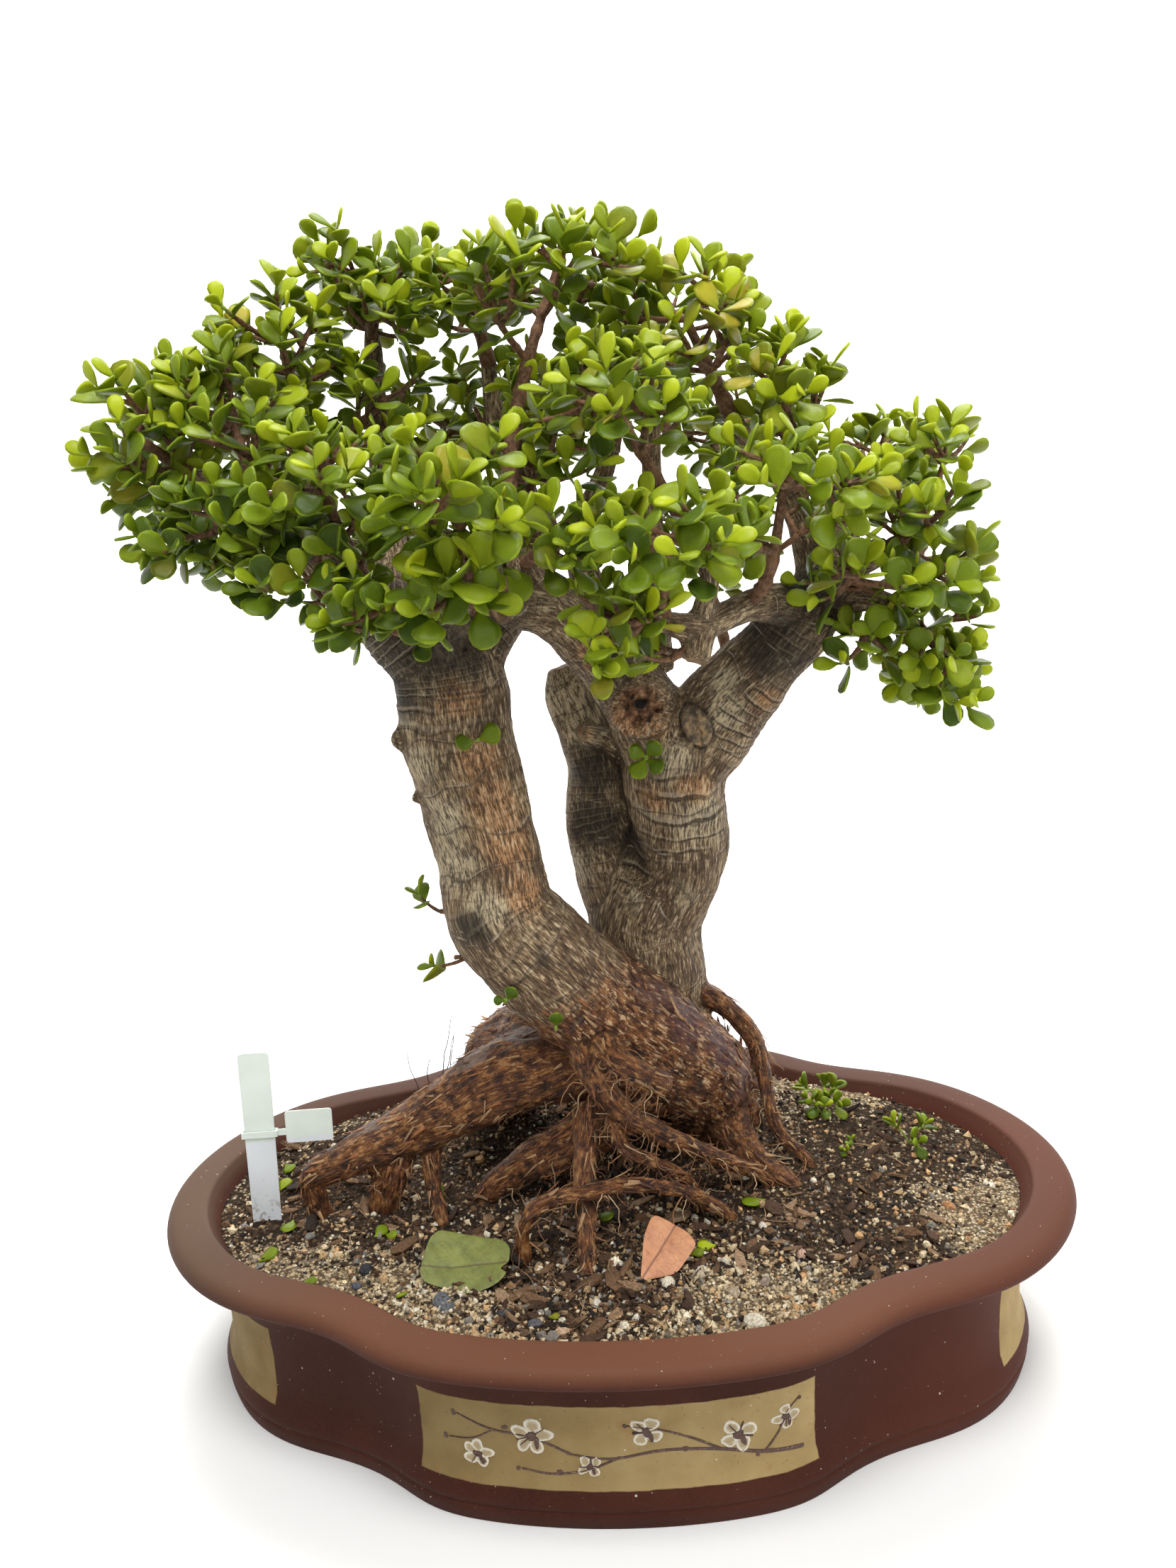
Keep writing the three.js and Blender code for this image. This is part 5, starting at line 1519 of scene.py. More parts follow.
# Places where the real crown lets the wood show: no leaf grows there.
CLEAR_OF_LEAVES = np.array([
    (60, -60, 438, 22), (34, -52, 442, 14), (-50, -20, 440, 26), (90, -30, 440, 24),
    (24, -10, 420, 22), (-20, -10, 440, 20), (62, -40, 420, 30), (110, -10, 440, 22),
    (-30, -96, 466, 20), (-32, -60, 466, 22), (-24, -50, 478, 18), (84, -40, 458, 16),
    (36, -62, 436, 18), (33, -94, 440, 20), (50, -92, 438, 18), (-48, -104, 452, 18),
])
# The crown's edge as seen from the front: places across, and how low and high the leaves go there.
EDGE_ACROSS = [-264, -245, -215, -160, -120, 234]
EDGE_LOW = [545, 514, 488, 464, 425, 375]
EDGE_HIGH = [585, 612, 640, 692, 702, 702]
# Clusters that turn yellow in the sun.
SUNNED = [
    ((62, 0, 611), 62), ((106, -20, 589), 44), ((-63, -90, 548), 30), ((151, -60, 520), 26),
    ((40, -40, 640), 50), ((-150, -60, 560), 26),
]
print("gaps:", len(CLEAR_OF_LEAVES), "sunny places:", len(SUNNED), "top in mm:", round(CROWN_TOP))

# %% The rule that spreads the twigs
# Three shares that never repeat spread the tips evenly over a cloud, whatever their number.
SPREAD = (0.8191725134, 0.6710436067, 0.5497004779)
CROWN_CENTRE = np.array([-20.0, 10.0, 520.0])
SHORTEST_TWIG = 14
TOO_NEAR = 100  # what it costs to start a twig that would be shorter
WAY_BACK_COST = 0.45


def twig_tip(centre, half_sizes, phase, sample):
    if sample == 0:
        return centre + unit(centre - CROWN_CENTRE) * half_sizes
    turn = TURN * fraction(phase + sample * SPREAD[0])
    up = 1 - 1.7 * fraction(3 * phase + sample * SPREAD[1])
    out = 1 - 0.3 * fraction(7 * phase + sample * SPREAD[2])
    flat = math.sqrt(max(0, 1 - up * up))
    return centre + half_sizes * out * np.array([flat * math.cos(turn), flat * math.sin(turn), up])


def nearest_start(starts, tip):
    reach = [np.linalg.norm(place - tip) for place, _ in starts]
    cost = [r + WAY_BACK_COST * way + (TOO_NEAR if r < SHORTEST_TWIG else 0)
            for r, (_, way) in zip(reach, starts)]
    best = int(np.argmin(cost))
    return starts[best], reach[best]


first_tips = [twig_tip(CROWN_CENTRE + 50, np.array([40, 50, 30]), 0.1, k).round().tolist() for k in (0, 1)]
print("the first two tips of a cloud:", first_tips)

# %% A twig: its stalk
RING_SPACING = 6.5


def bent_line(start, lead, end, count):
    t = np.linspace(0, 1, count)[:, None]
    return (1 - t) ** 2 * start + 2 * t * (1 - t) * lead + t**2 * end


def add_stalk(heap, line, radii, green_from, sides=5, blush=0.3):
    """A ringed stalk. green_from is the part of its length where it starts to turn green."""
    way = way_along(line)
    rings = np.exp(-(((fraction(way / RING_SPACING) - 0.5) / 0.16) ** 2))
    radii = radii * (1 + 0.3 * rings)
    points, faces = tube(line, radii, sides, first=(0.3, 0.2, 0.1))
    part = np.append(np.repeat(way / way[-1], sides), [0, 1])
    ring_mark = np.append(np.repeat(rings, sides), [0, 0])
    tone = np.clip(0.5 + (part - green_from) / 0.5, 0, 1)
    heap.add(points, faces, 1, rim=ring_mark, tone=tone, blush=blush, along=part)


print("a bent line:", bent_line(np.zeros(3), np.array([5, 0, 0]), np.array([5, 0, 5]), 3).tolist())

# %% A twig: its pairs of leaves
LEAF_LENGTH = 17.5
LEAF_HALF_WIDTH = 7.5
LIFTS = (0.95, 0.62, 0.36, 0.18, 0.05)
PAIR_SPACING = 8
TONES = (0.32, 0.06, -0.05)  # lighter or deeper than the bough: a pair at the tip, the next, the rest


def leaf_on(root, out, along, lift, length, chance, age, light):
    """One leaf: out is its direction at the stalk, lift raises it towards the stalk's tip."""
    axis = out * math.cos(lift) + along * math.sin(lift)
    above = along * math.cos(lift) - out * math.sin(lift)
    turn = chance.uniform(-0.35, 0.35)
    side = np.cross(above, axis)
    side, above = (side * math.cos(turn) + above * math.sin(turn),
                   above * math.cos(turn) - side * math.sin(turn))
    young = age == 0
    tone = light + TONES[min(age, 2)] + chance.normal(0, 0.13)
    sunned = max(near(root[None], centre, radius)[0] for centre, radius in SUNNED)
    blush = max(0, chance.normal(-0.25 + 0.55 * sunned, 0.38)) if not young else 0
    wide = LEAF_HALF_WIDTH / LEAF_LENGTH * length * (0.78 if young else chance.uniform(0.88, 1.08))
    return {"root": root + axis * 0.5, "axis": axis, "side": side, "above": above, "length": length,
            "wide": wide, "cup": chance.uniform(0.05, 0.30), "bend": chance.uniform(-0.22, 0.12),
            "twist": chance.uniform(-0.3, 0.3), "tone": min(max(tone, 0), 1), "blush": min(blush, 1)}


def plan_leaves(tip, along, across, pairs, length, size, chance, light):
    leaves = []
    for age in range(pairs):
        node = tip - along * PAIR_SPACING * size * age * (1 + 0.06 * age)
        out = across if age % 2 == 0 else np.cross(along, across)
        for way in (1, -1):
            lift = LIFTS[min(age, 4)] + chance.uniform(-0.22, 0.22)
            grown = length * (chance.uniform(0.62, 0.88) if age == 0 else chance.uniform(0.85, 1.12))
            leaves.append(leaf_on(node, unit(way * out + 0.12 * chance.normal(size=3)), along, lift,
                                  grown, chance, age, light))
    return leaves


print("steepest and flattest pair in degrees:", [round(math.degrees(lift)) for lift in LIFTS[::4]])


# %% Is there room for these leaves?
leaf_centres = []


def leaf_middle(leaf):
    return leaf["root"] + leaf["axis"] * 0.55 * leaf["length"]


def have_room(leaves, least, crowded):
    """Whether few enough of the leaves lie closer than least to those that are there already."""
    middles = np.array([leaf_middle(leaf) for leaf in leaves])
    ends = np.array([leaf["root"] + leaf["axis"] * leaf["length"] for leaf in leaves])
    if np.abs(ends[:, 1]).max() > CANOPY_HALF_DEPTH or ends[:, 2].max() > CROWN_TOP:
        return False
    low, high = [np.interp(ends[:, 0], EDGE_ACROSS, edge) for edge in (EDGE_LOW, EDGE_HIGH)]
    if (ends[:, 2] < low).any() or (ends[:, 2] > high).any() or ends[:, 0].min() < EDGE_ACROSS[0]:
        return False
    if (ends[:, 0] - 0.3 * ends[:, 1]).max() > EDGE_ACROSS[-1]:
        return False
    from_clear = np.linalg.norm(ends[:, None] - CLEAR_OF_LEAVES[:, :3], axis=2)
    if (from_clear < CLEAR_OF_LEAVES[:, 3]).any():
        return False
    if not leaf_centres:
        return True
    away = np.linalg.norm(middles[:, None] - np.array(leaf_centres), axis=2).min(1)
    return (away < least).mean() <= crowded


print("leaves grown so far:", len(leaf_centres))

# %% How many twigs, and the painted light and shade on their green
CLOUD_AREA_PER_TWIG = 1000
MOST_SAMPLES = 170


def cloud_area(half_sizes):
    a, b, c = half_sizes
    return 4 * math.pi * (((a * b) ** 1.6 + (a * c) ** 1.6 + (b * c) ** 1.6) / 3) ** (1 / 1.6)


def painted_leaf_light(place):
    """Painted light and shade in the green: deeper low on the left and at the back, lighter on top and
    right.
    """
    x, y, z = place
    deep_left = (1 - step_between(x, -190, -60)) * (1 - step_between(z, 500, 590))
    behind = step_between(y, 20, 120)
    return 0.45 + 0.12 * step_between(z, 480, 640) - 0.22 * deep_left - 0.10 * behind + 0.04 * (x > 40)


print("twigs of a middling cloud:", round(cloud_area((40, 48, 32)) / CLOUD_AREA_PER_TWIG))

# %% Grow one bough
PHASE_START, PHASE_STEP = 0.137, 0.618
STEM_STEP = 4
STARTS_SPACING = 26
UPRIGHT = np.array([0, 0, 1.0])
SAG = 0.14
REACH_PER_PAIR = 11
STALK_STEP = 3.2
STALK_TAPER = 0.022
LEAST_GAP, CROWDED_SHARE = 6, 0.3
BIG_LEAVES, BIG_LEAVES_REACH = (-62, -125, 516), 48
bough_twigs = {}


def grow_bough(name, number, radius, stem, half_sizes=None, end=None, size=1.0, replaced=()):
    phase = float(fraction(PHASE_START + PHASE_STEP * number))
    chance = np.random.default_rng(SEEDS["boughs"] + number)
    heap = Heap()
    line, _ = smooth_line(stem, max(8, int(way_along(stem)[-1] / STEM_STEP)))
    way = way_along(line)
    end_radius = min(0.8 * radius, 2.1)
    add_stalk(heap, line, radius + (end_radius - radius) * way / way[-1], 2.0, sides=9, blush=0.5)
    steps = max(2, round(way[-1] / STARTS_SPACING))
    places = np.linspace(0, len(line) - 1, steps + 1).round().astype(int)
    starts = [(line[k], way[k]) for k in places[math.ceil(0.45 * steps):]]
    wanted = 1 if end else round(cloud_area(half_sizes) / CLOUD_AREA_PER_TWIG)
    made, sample = 0, 0
    while made < wanted and sample < MOST_SAMPLES:
        tip = np.array(end, float) if end else twig_tip(line[-1], np.array(half_sizes), phase, sample)
        (start, back), reach = nearest_start(starts, tip)
        lead = (start + tip) / 2 - UPRIGHT * SAG * reach
        along = unit(unit(tip - lead) + 0.35 * UPRIGHT)
        across = np.array([math.cos(7 * sample), math.sin(7 * sample), 0.1])
        across = unit(across - along * across.dot(along))
        length = LEAF_LENGTH * size * (0.88 + 0.26 * float(fraction(sample * SPREAD[0] + phase)))
        length *= 1 + 0.40 * float(near(tip[None], BIG_LEAVES, BIG_LEAVES_REACH)[0])
        pairs = 2 if end else int(np.clip(reach / REACH_PER_PAIR, 2, 5))
        # Painted light and shade: the bough's green is deeper or lighter by where the twig's tip lies.
        light = painted_leaf_light(tip)
        leaves = plan_leaves(tip, along, across, pairs, length, size, chance, light)
        sample += 1
        too_short = reach < SHORTEST_TWIG
        if not end and (too_short or not have_room(leaves, LEAST_GAP, CROWDED_SHARE)):
            continue
        stalk = bent_line(start, lead, tip, 3 + int(reach / STALK_STEP))
        thick = max(size, 0.8)
        radii = np.linspace(thick + STALK_TAPER * reach, thick, len(stalk))
        add_stalk(heap, stalk, radii, 0.75, blush=chance.uniform(0, 1))
        add_leaves(heap, leaves)
        leaf_centres.extend(leaf_middle(leaf) for leaf in leaves)
        starts.append((bent_line(start, lead, tip, 3)[1], back + 0.5 * reach))
        made += 1
    bough_twigs[name] = made
    return heap.piece("leafy_" + name, [leaf_finish, twig_finish], replaced)


print("twigs start every", STARTS_SPACING, "mm of a stem")

# %% Grow every bough
FILLING_NUMBER = 40
for number, (bough_name, (radius, stem, half_sizes)) in enumerate(BOUGHS.items()):
    grow_bough(bough_name, number, radius, stem, half_sizes=half_sizes, replaced=[bough_name])
for number, (shoot_name, (radius, stem, end)) in enumerate(SHOOTS.items(), len(BOUGHS)):
    grow_bough(shoot_name, number, radius, stem, end=end, size=0.82, replaced=[shoot_name])
for number, (filling_name, (radius, stem, half_sizes)) in enumerate(FILLING.items(), FILLING_NUMBER):
    grow_bough(filling_name, number, radius, stem, half_sizes=half_sizes)
print("twigs:", sum(bough_twigs.values()), "leaves:", len(leaf_centres))

# %% [markdown]
# ## Soil
# The pot holds a bonsai mix: pale pumice grit, dark peat and bark chips, in patches where it was
# poured or watered away; some dark patches are painted shade under the trunk and the root plate. A
# bumpy surface alone would look like plaster from this close. So a soil body carries the soft shape
# and colour, and thousands of loose grains lie on it, each a small crooked eight-sided stone. The
# same patch formula decides the colour of the soil and of the grains.

# %% The shape of the soil
SOIL_EDGE = 104
MOUND = 22
SOIL_SIDES = 240


def soil_height(x, y):
    out = np.hypot(x, y) / outline_radius(np.arctan2(y, x))
    fade = np.maximum(0, 1 - 2.5 * out**8)
    rise = MOUND * np.exp(-(((y - 108) / 68) ** 2) - (x / 210) ** 2)
    waves = 1.3 * np.sin(x / 21) * np.cos(y / 17) + 0.8 * np.sin((x - y) / 11)
    return SOIL_EDGE + fade * (rise + waves)


def ground_at(place):
    """The soil's height under one place."""
    return float(soil_height(*np.array(place, float)))


PUMICE_SPOTS = [(94, -112, 34), (55, -137, 34), (121, -120, 34), (219, -62, 40), (232, -30, 36),
                (189, -13, 15), (-73, -145, 22), (-103, -115, 44), (-150, -96, 40), (-200, -66, 34),
                (133, 133, 50), (156, 100, 34), (60, -100, 26), (20, -148, 26), (-30, -150, 20)]
# Some of these spots are painted shade: they darken the soil where the trunk and the root plate shade it.
PEAT_AND_SHADE_SPOTS = [(133, -49, 46), (180, 30, 46), (60, -54, 40), (8, -118, 34), (-31, -118, 30),
              (221, 40, 40), (-163, -18, 48), (-108, -21, 48), (-39, -9, 62), (20, 10, 90),
              (-60, 60, 90), (-10, -70, 50), (160, -70, 24), (-140, -110, 14), (-200, -28, 34),
              (-76, -36, 34)]


def pumice_share_with_shade(x, y):
    """1 where the pale grit lies, 0 where the peat shows and where painted shade darkens the soil."""
    flat = np.stack([x, y, 0 * x], 1)

    def pile(spots):
        return sum(np.exp(-((np.hypot(x - cx, y - cy) / radius) ** 2)) for cx, cy, radius in spots)

    share = 0.38 + pile(PUMICE_SPOTS) * 0.6 - pile(PEAT_AND_SHADE_SPOTS) * 0.6
    return np.clip(share + 0.34 * clouds(flat, 17, 3), 0, 1)


print("soil height in the middle and at the back:", round(ground_at((0, 0))), round(ground_at((0, 100))))

# %% Soil body
SOIL_INSET = 31.3
SOIL_FOOT = 14.4
soil_outs = np.concatenate([np.linspace(1, 0.9, 12), np.linspace(0.88, 0.02, 62)])
soil_profile = [(40.4, SOIL_FOOT, 1), (38.4, 93.5, 1)]
soil_profile += [(SOIL_INSET, SOIL_EDGE, out) for out in soil_outs]
soil_rings, _ = lobed_rings(soil_profile, SOIL_SIDES)
top = soil_rings[3:]
flat_places = np.column_stack([top[..., :2].reshape(-1, 2), np.zeros(top[..., 0].size)])
crumbs = 1.1 * clouds(flat_places, 7, 3) + 0.5 * clouds(flat_places, 2.6)
top[..., 2] = soil_height(top[..., 0], top[..., 1]) + crumbs.reshape(top.shape[:2])
soil_heap = Heap()
soil_points, soil_faces = closed_rings(soil_rings, (0, 0, SOIL_FOOT), (0, 0, soil_height(0.0, 0.1)))
soil_heap.add(soil_points, soil_faces, pumice=pumice_share_with_shade(soil_points[:, 0], soil_points[:, 1]))


def soil_skin():
    soil = Finish("bonsai_mix")
    place = soil.place()
    pumice = soil.mark("pumice")
    grains = soil.cells(place, 2.1)
    colours = soil.cells(place, 2.1, output="Color")
    pick = soil.node("ShaderNodeSeparateColor", {}, {0: colours}, output="Red")
    pale = soil.ramp(pick, (0.0, (0.20, 0.13, 0.07)), (0.35, (0.38, 0.27, 0.15)),
                     (0.8, (0.58, 0.46, 0.30)))
    dark = soil.ramp(pick, (0.0, (0.016, 0.010, 0.007)), (0.6, (0.065, 0.038, 0.022)),
                     (0.85, (0.16, 0.10, 0.055)), (1.0, (0.40, 0.30, 0.19)))
    chosen = soil.between(pumice + (pick - 0.5) * 0.9, 0.44, 0.58)
    colour = soil.blend(chosen, dark, pale)
    # Painted shade: the low gaps between the grains' bumps are darkened.
    colour = soil.blend(soil.between(grains, 0.2, 0.6) * 0.78, colour, (0.022, 0.014, 0.008))
    rough = 0.85 + pick * 0.1
    relief = (1 - grains) * 0.9 + soil.noise(place, 1.4, detail=3) * 0.8
    return soil.done(Base_Color=colour, Roughness=rough, Specular_IOR_Level=0.15,
                     Normal=soil.bumps(relief, 1.6, 1.0))


soil_heap.piece("potting_soil", [soil_skin()], ["soil"])
print("soil triangles:", triangles["potting_soil"])


# %% Loose bodies on the soil
def random_turns(chance, count):
    """Random rotation matrices, from random quaternions."""
    w, x, y, z = unit(chance.normal(size=(count, 4))).T
    rows = [[1 - 2 * (y * y + z * z), 2 * (x * y - z * w), 2 * (x * z + y * w)],
            [2 * (x * y + z * w), 1 - 2 * (x * x + z * z), 2 * (y * z - x * w)],
            [2 * (x * z - y * w), 2 * (y * z + x * w), 1 - 2 * (x * x + y * y)]]
    return np.moveaxis(np.array(rows), -1, 0)


def places_on_soil(chance, count, inset=0.985):
    """Random places inside the soil's outline, more of them in front."""
    places = []
    while len(places) < count:
        angle = chance.uniform(0, TURN, 4000)
        edge = np.linalg.norm(outline_point(angle, np.full(4000, SOIL_INSET)), axis=1) * inset
        radius = np.sqrt(chance.uniform(0, 1, 4000)) * edge
        x, y = radius * np.cos(angle), radius * np.sin(angle)
        keep = chance.uniform(0, 1, 4000) < np.clip(0.75 - y / 220, 0.3, 1)
        places += np.column_stack([x, y])[keep].tolist()
    return np.array(places[:count])


def stretches(chance, count, *ranges):
    """How far each copy is drawn out along its three axes. (1, 1) leaves an axis as it is."""
    columns = [np.ones(count) if low == high else chance.uniform(low, high, count)
               for low, high in ranges]
    return np.column_stack(columns)


def scatter(heap, body, faces, where, size, stretch, colour, chance, sink=0.2, jitter=0.18, tilt=None):
    """Copies of a small body at many places, each with its own turn, size and colour."""
    count = len(where)
    uneven = 1 + chance.uniform(-jitter, jitter, (count, len(body), 1))
    shapes = body[None] * stretch[:, None] * uneven
    turns = random_turns(chance, count) if tilt is None else tilt
    shapes = np.einsum("nij,npj->npi", turns, shapes * size[:, None, None])
    ground = soil_height(where[:, 0], where[:, 1])
    shapes += np.column_stack([where, ground + sink * size])[:, None]
    loops = [[first + corner for corner in face] for first in range(0, count * len(body), len(body))
             for face in faces]
    heap.add(shapes.reshape(-1, 3), loops, hue=np.repeat(colour, len(body), axis=0))


EIGHT_SIDED = np.array([[1, 0, 0], [0, 1, 0], [-1, 0, 0], [0, -1, 0], [0, 0, 1], [0, 0, -1.0]])
EIGHT_FACES = [[0, 1, 4], [1, 2, 4], [2, 3, 4], [3, 0, 4], [1, 0, 5], [2, 1, 5], [3, 2, 5], [0, 3, 5]]
print("a grain has points and faces:", len(EIGHT_SIDED), len(EIGHT_FACES))

# %% The finish of loose stones
def stone_skin():
    stone = Finish("grit_and_stones")
    mottle = stone.noise(stone.place(), 1.3, detail=3, rough=0.6)
    hue = stone.mark("hue", "Vector")
    dark = stone.stretch(hue, (0.55, 0.52, 0.50))
    colour = stone.blend(stone.between(mottle, 0.35, 0.65), dark, hue)
    return stone.done(Base_Color=colour, Roughness=0.8 + mottle * 0.15, Specular_IOR_Level=0.2,
                      Normal=stone.bumps(mottle, 0.4, 0.7))


stone_finish = stone_skin()
print("nodes of the stone finish:", len(stone_finish.node_tree.nodes))

# %% Grit
GRAINS = 12000
GRAIN_COLOURS = np.array([
    (0.58, 0.45, 0.27), (0.70, 0.58, 0.38), (0.50, 0.35, 0.19), (0.60, 0.36, 0.17), (0.76, 0.70, 0.55),
    (0.24, 0.22, 0.19), (0.15, 0.085, 0.045), (0.06, 0.036, 0.022), (0.022, 0.018, 0.015),
])
PUMICE_CHANCES = [0.28, 0.24, 0.14, 0.05, 0.10, 0.05, 0.06, 0.05, 0.03]
PEAT_CHANCES = [0.06, 0.04, 0.07, 0.03, 0.03, 0.07, 0.24, 0.29, 0.17]

chance = np.random.default_rng(SEEDS["soil"])
grain_places = places_on_soil(chance, GRAINS)
share = pumice_share_with_shade(grain_places[:, 0], grain_places[:, 1])
pale = share + chance.normal(0, 0.2, GRAINS) > 0.5
pale_picks = chance.choice(9, GRAINS, p=PUMICE_CHANCES)
dark_picks = chance.choice(9, GRAINS, p=PEAT_CHANCES)
picks = np.where(pale, pale_picks, dark_picks)
grain_colours = GRAIN_COLOURS[picks] * chance.uniform(0.75, 1.28, (GRAINS, 1))
grain_sizes = np.where(pale, 1.12, 1.2) * np.exp(chance.normal(0, 0.38, GRAINS))
grain_stretch = stretches(chance, GRAINS, (0.8, 1.5), (1, 1), (0.5, 0.95))
grit_heap = Heap()
scatter(grit_heap, EIGHT_SIDED, EIGHT_FACES, grain_places, grain_sizes, grain_stretch,
        grain_colours, chance)
grit_heap.piece("loose_grit", [stone_finish], smooth=False)
print("grit triangles:", triangles["loose_grit"])

# %% Round bodies that lie flat
def round_body(rows, sides):
    """A ball as rings, for pebbles and chips."""
    heights = np.cos(np.linspace(0, math.pi, rows + 2))[1:-1][::-1]
    angles = around(sides)
    rings = np.array([[(math.sqrt(1 - h * h) * math.cos(a), math.sqrt(1 - h * h) * math.sin(a), h)
                       for a in angles] for h in heights])
    return closed_rings(rings, (0, 0, -1), (0, 0, 1))


def flat_turns(chance, count, tilt=0.25):
    """Turns about the upright axis with a slight tilt, for things that lie on the ground."""
    found = []
    for _ in range(count):
        turn = Matrix.Rotation(chance.uniform(0, TURN), 3, "Z")
        for axis in "XY":
            turn = turn @ Matrix.Rotation(chance.normal(0, tilt), 3, axis)
        found.append(turn)
    return np.array([[list(row) for row in matrix] for matrix in found])


print("faces of a pebble:", len(round_body(3, 7)[1]))

# %% Stones that stand out
# Each: place, half size, colour.
STONES = [
    ((75, -135), 6.5, (0.66, 0.60, 0.47)), ((31, -102), 5.5, (0.68, 0.62, 0.48)),
    ((50, -91), 3.6, (0.62, 0.56, 0.44)), ((-91, -115), 7, (0.13, 0.14, 0.15)),
    ((-57, -122), 4.5, (0.07, 0.075, 0.085)), ((-143, -97), 4, (0.10, 0.11, 0.13)),
    ((-40, -132), 4.5, (0.12, 0.12, 0.13)), ((-141, -83), 4.5, (0.04, 0.04, 0.045)),
    ((-25, -138), 4, (0.60, 0.42, 0.28)), ((13, -130), 3, (0.66, 0.62, 0.52)),
    ((66, -110), 4, (0.42, 0.34, 0.24)), ((88, -52), 3, (0.66, 0.60, 0.50)),
    ((-8, -116), 3, (0.62, 0.58, 0.50)), ((21, -92), 2.6, (0.64, 0.60, 0.52)),
    ((-182, -50), 4, (0.24, 0.23, 0.20)), ((5, -84), 2.4, (0.66, 0.62, 0.54)),
    ((107, -78), 3.4, (0.55, 0.36, 0.28)), ((84, -100), 4.2, (0.30, 0.24, 0.19)),
    ((-72, -10), 11, (0.52, 0.47, 0.38)), ((-48, -20), 6, (0.30, 0.26, 0.21)),
    ((200, -36), 4, (0.50, 0.26, 0.12)), ((83, 0), 3.4, (0.66, 0.60, 0.50)),
    ((48, -96), 4.2, (0.50, 0.42, 0.30)),
]
stone_heap = Heap()
pebble, pebble_faces = round_body(5, 9)
count = len(STONES)
stone_stretch = stretches(chance, count, (1, 1), (0.6, 0.85), (0.45, 0.65))
stone_places, stone_sizes, stone_colours = [np.array(column, float) for column in zip(*STONES)]
scatter(stone_heap, pebble, pebble_faces, stone_places, stone_sizes, stone_stretch, stone_colours,
        chance, sink=0.15, jitter=0.1, tilt=flat_turns(chance, count))
print("stones:", count)

# %% Pebbles
PEBBLES = 420
PEBBLE_CHANCES = [0.2, 0.2, 0.12, 0.08, 0.12, 0.1, 0.08, 0.06, 0.04]
where = places_on_soil(chance, PEBBLES, 0.96)
where = where[where[:, 1] < 90]
count = len(where)
sizes = 1.9 * np.exp(chance.normal(0, 0.28, count))
colours = GRAIN_COLOURS[chance.choice(9, count, p=PEBBLE_CHANCES)]
drawn_out = stretches(chance, count, (1, 1), (0.65, 0.95), (0.5, 0.8))
scatter(stone_heap, *round_body(3, 7), where, sizes, drawn_out, colours, chance, sink=0.2, jitter=0.14,
        tilt=flat_turns(chance, count))
print("pebbles:", count)

# %% Bark chips
CHIPS = 520
CHIP_COLOURS = np.array([
    (0.15, 0.085, 0.045), (0.24, 0.15, 0.085), (0.075, 0.042, 0.026), (0.30, 0.20, 0.12),
    (0.035, 0.024, 0.018),
])
CHIP_CHANCES = [0.28, 0.2, 0.25, 0.1, 0.17]
where = places_on_soil(chance, CHIPS * 2, 0.95)
where = where[pumice_share_with_shade(where[:, 0], where[:, 1]) < 0.62][:CHIPS]
count = len(where)
sizes = 3.4 * np.exp(chance.normal(0, 0.42, count))
colours = CHIP_COLOURS[chance.choice(5, count, p=CHIP_CHANCES)] * chance.uniform(0.8, 1.2, (count, 1))
drawn_out = stretches(chance, count, (1.0, 2.1), (0.35, 0.8), (0.16, 0.34))
scatter(stone_heap, *round_body(2, 6), where, sizes, drawn_out, colours, chance, sink=0.22, jitter=0.22,
        tilt=flat_turns(chance, count, 0.3))
stone_heap.piece("stones_and_chips", [stone_finish], smooth=False)
print("stones and chips:", triangles["stones_and_chips"], "triangles")

# %% [markdown]
# ## What has fallen on the soil
# A big green leaf and a dry red one lie on the grit, with small jade leaves around them, some weeds
# and dry straws. The big leaves keep the measured outline and curl. A flat cut-out would show no
# thickness and no veins, so each is a thin body of rings that shrink towards its middle.

# %% The outlines of the two big fallen leaves
GREEN_OUTLINE = [
    (-25, -7), (-21.8, -12.9), (-7.9, -16.3), (5.9, -19.2), (19.8, -14), (24.8, -8.1), (19.8, -4.7),
    (25.2, -1.2), (24.8, 7), (19.8, 12.9), (-7.9, 18.5), (-17.6, 19.3), (-22.7, 14),
]
RED_OUTLINE = [
    (-14.3, -19.3), (-3.9, -16.8), (5.9, -15.1), (14.9, -4.3), (17.8, 0.4), (12.9, 7.6), (5, 13.4),
    (-5.9, 19.3), (-11.5, 6.5), (-12.9, -6.5),
]


def softened(outline, times):
    """A closed outline with its corners cut."""
    points = np.array(outline, float)
    for _ in range(times):
        ahead = np.roll(points, -1, axis=0)
        points = np.stack([0.82 * points + 0.18 * ahead, 0.18 * points + 0.82 * ahead], 1)
        points = points.reshape(-1, 2)
    return points


print("corners of the outlines:", len(softened(GREEN_OUTLINE, 2)), len(softened(RED_OUTLINE, 2)))

# %% The blade of a fallen leaf
SHRINK = np.array([1, 0.99, 0.9, 0.75, 0.55, 0.32, 0.12])
HALF_BLADE = 0.38


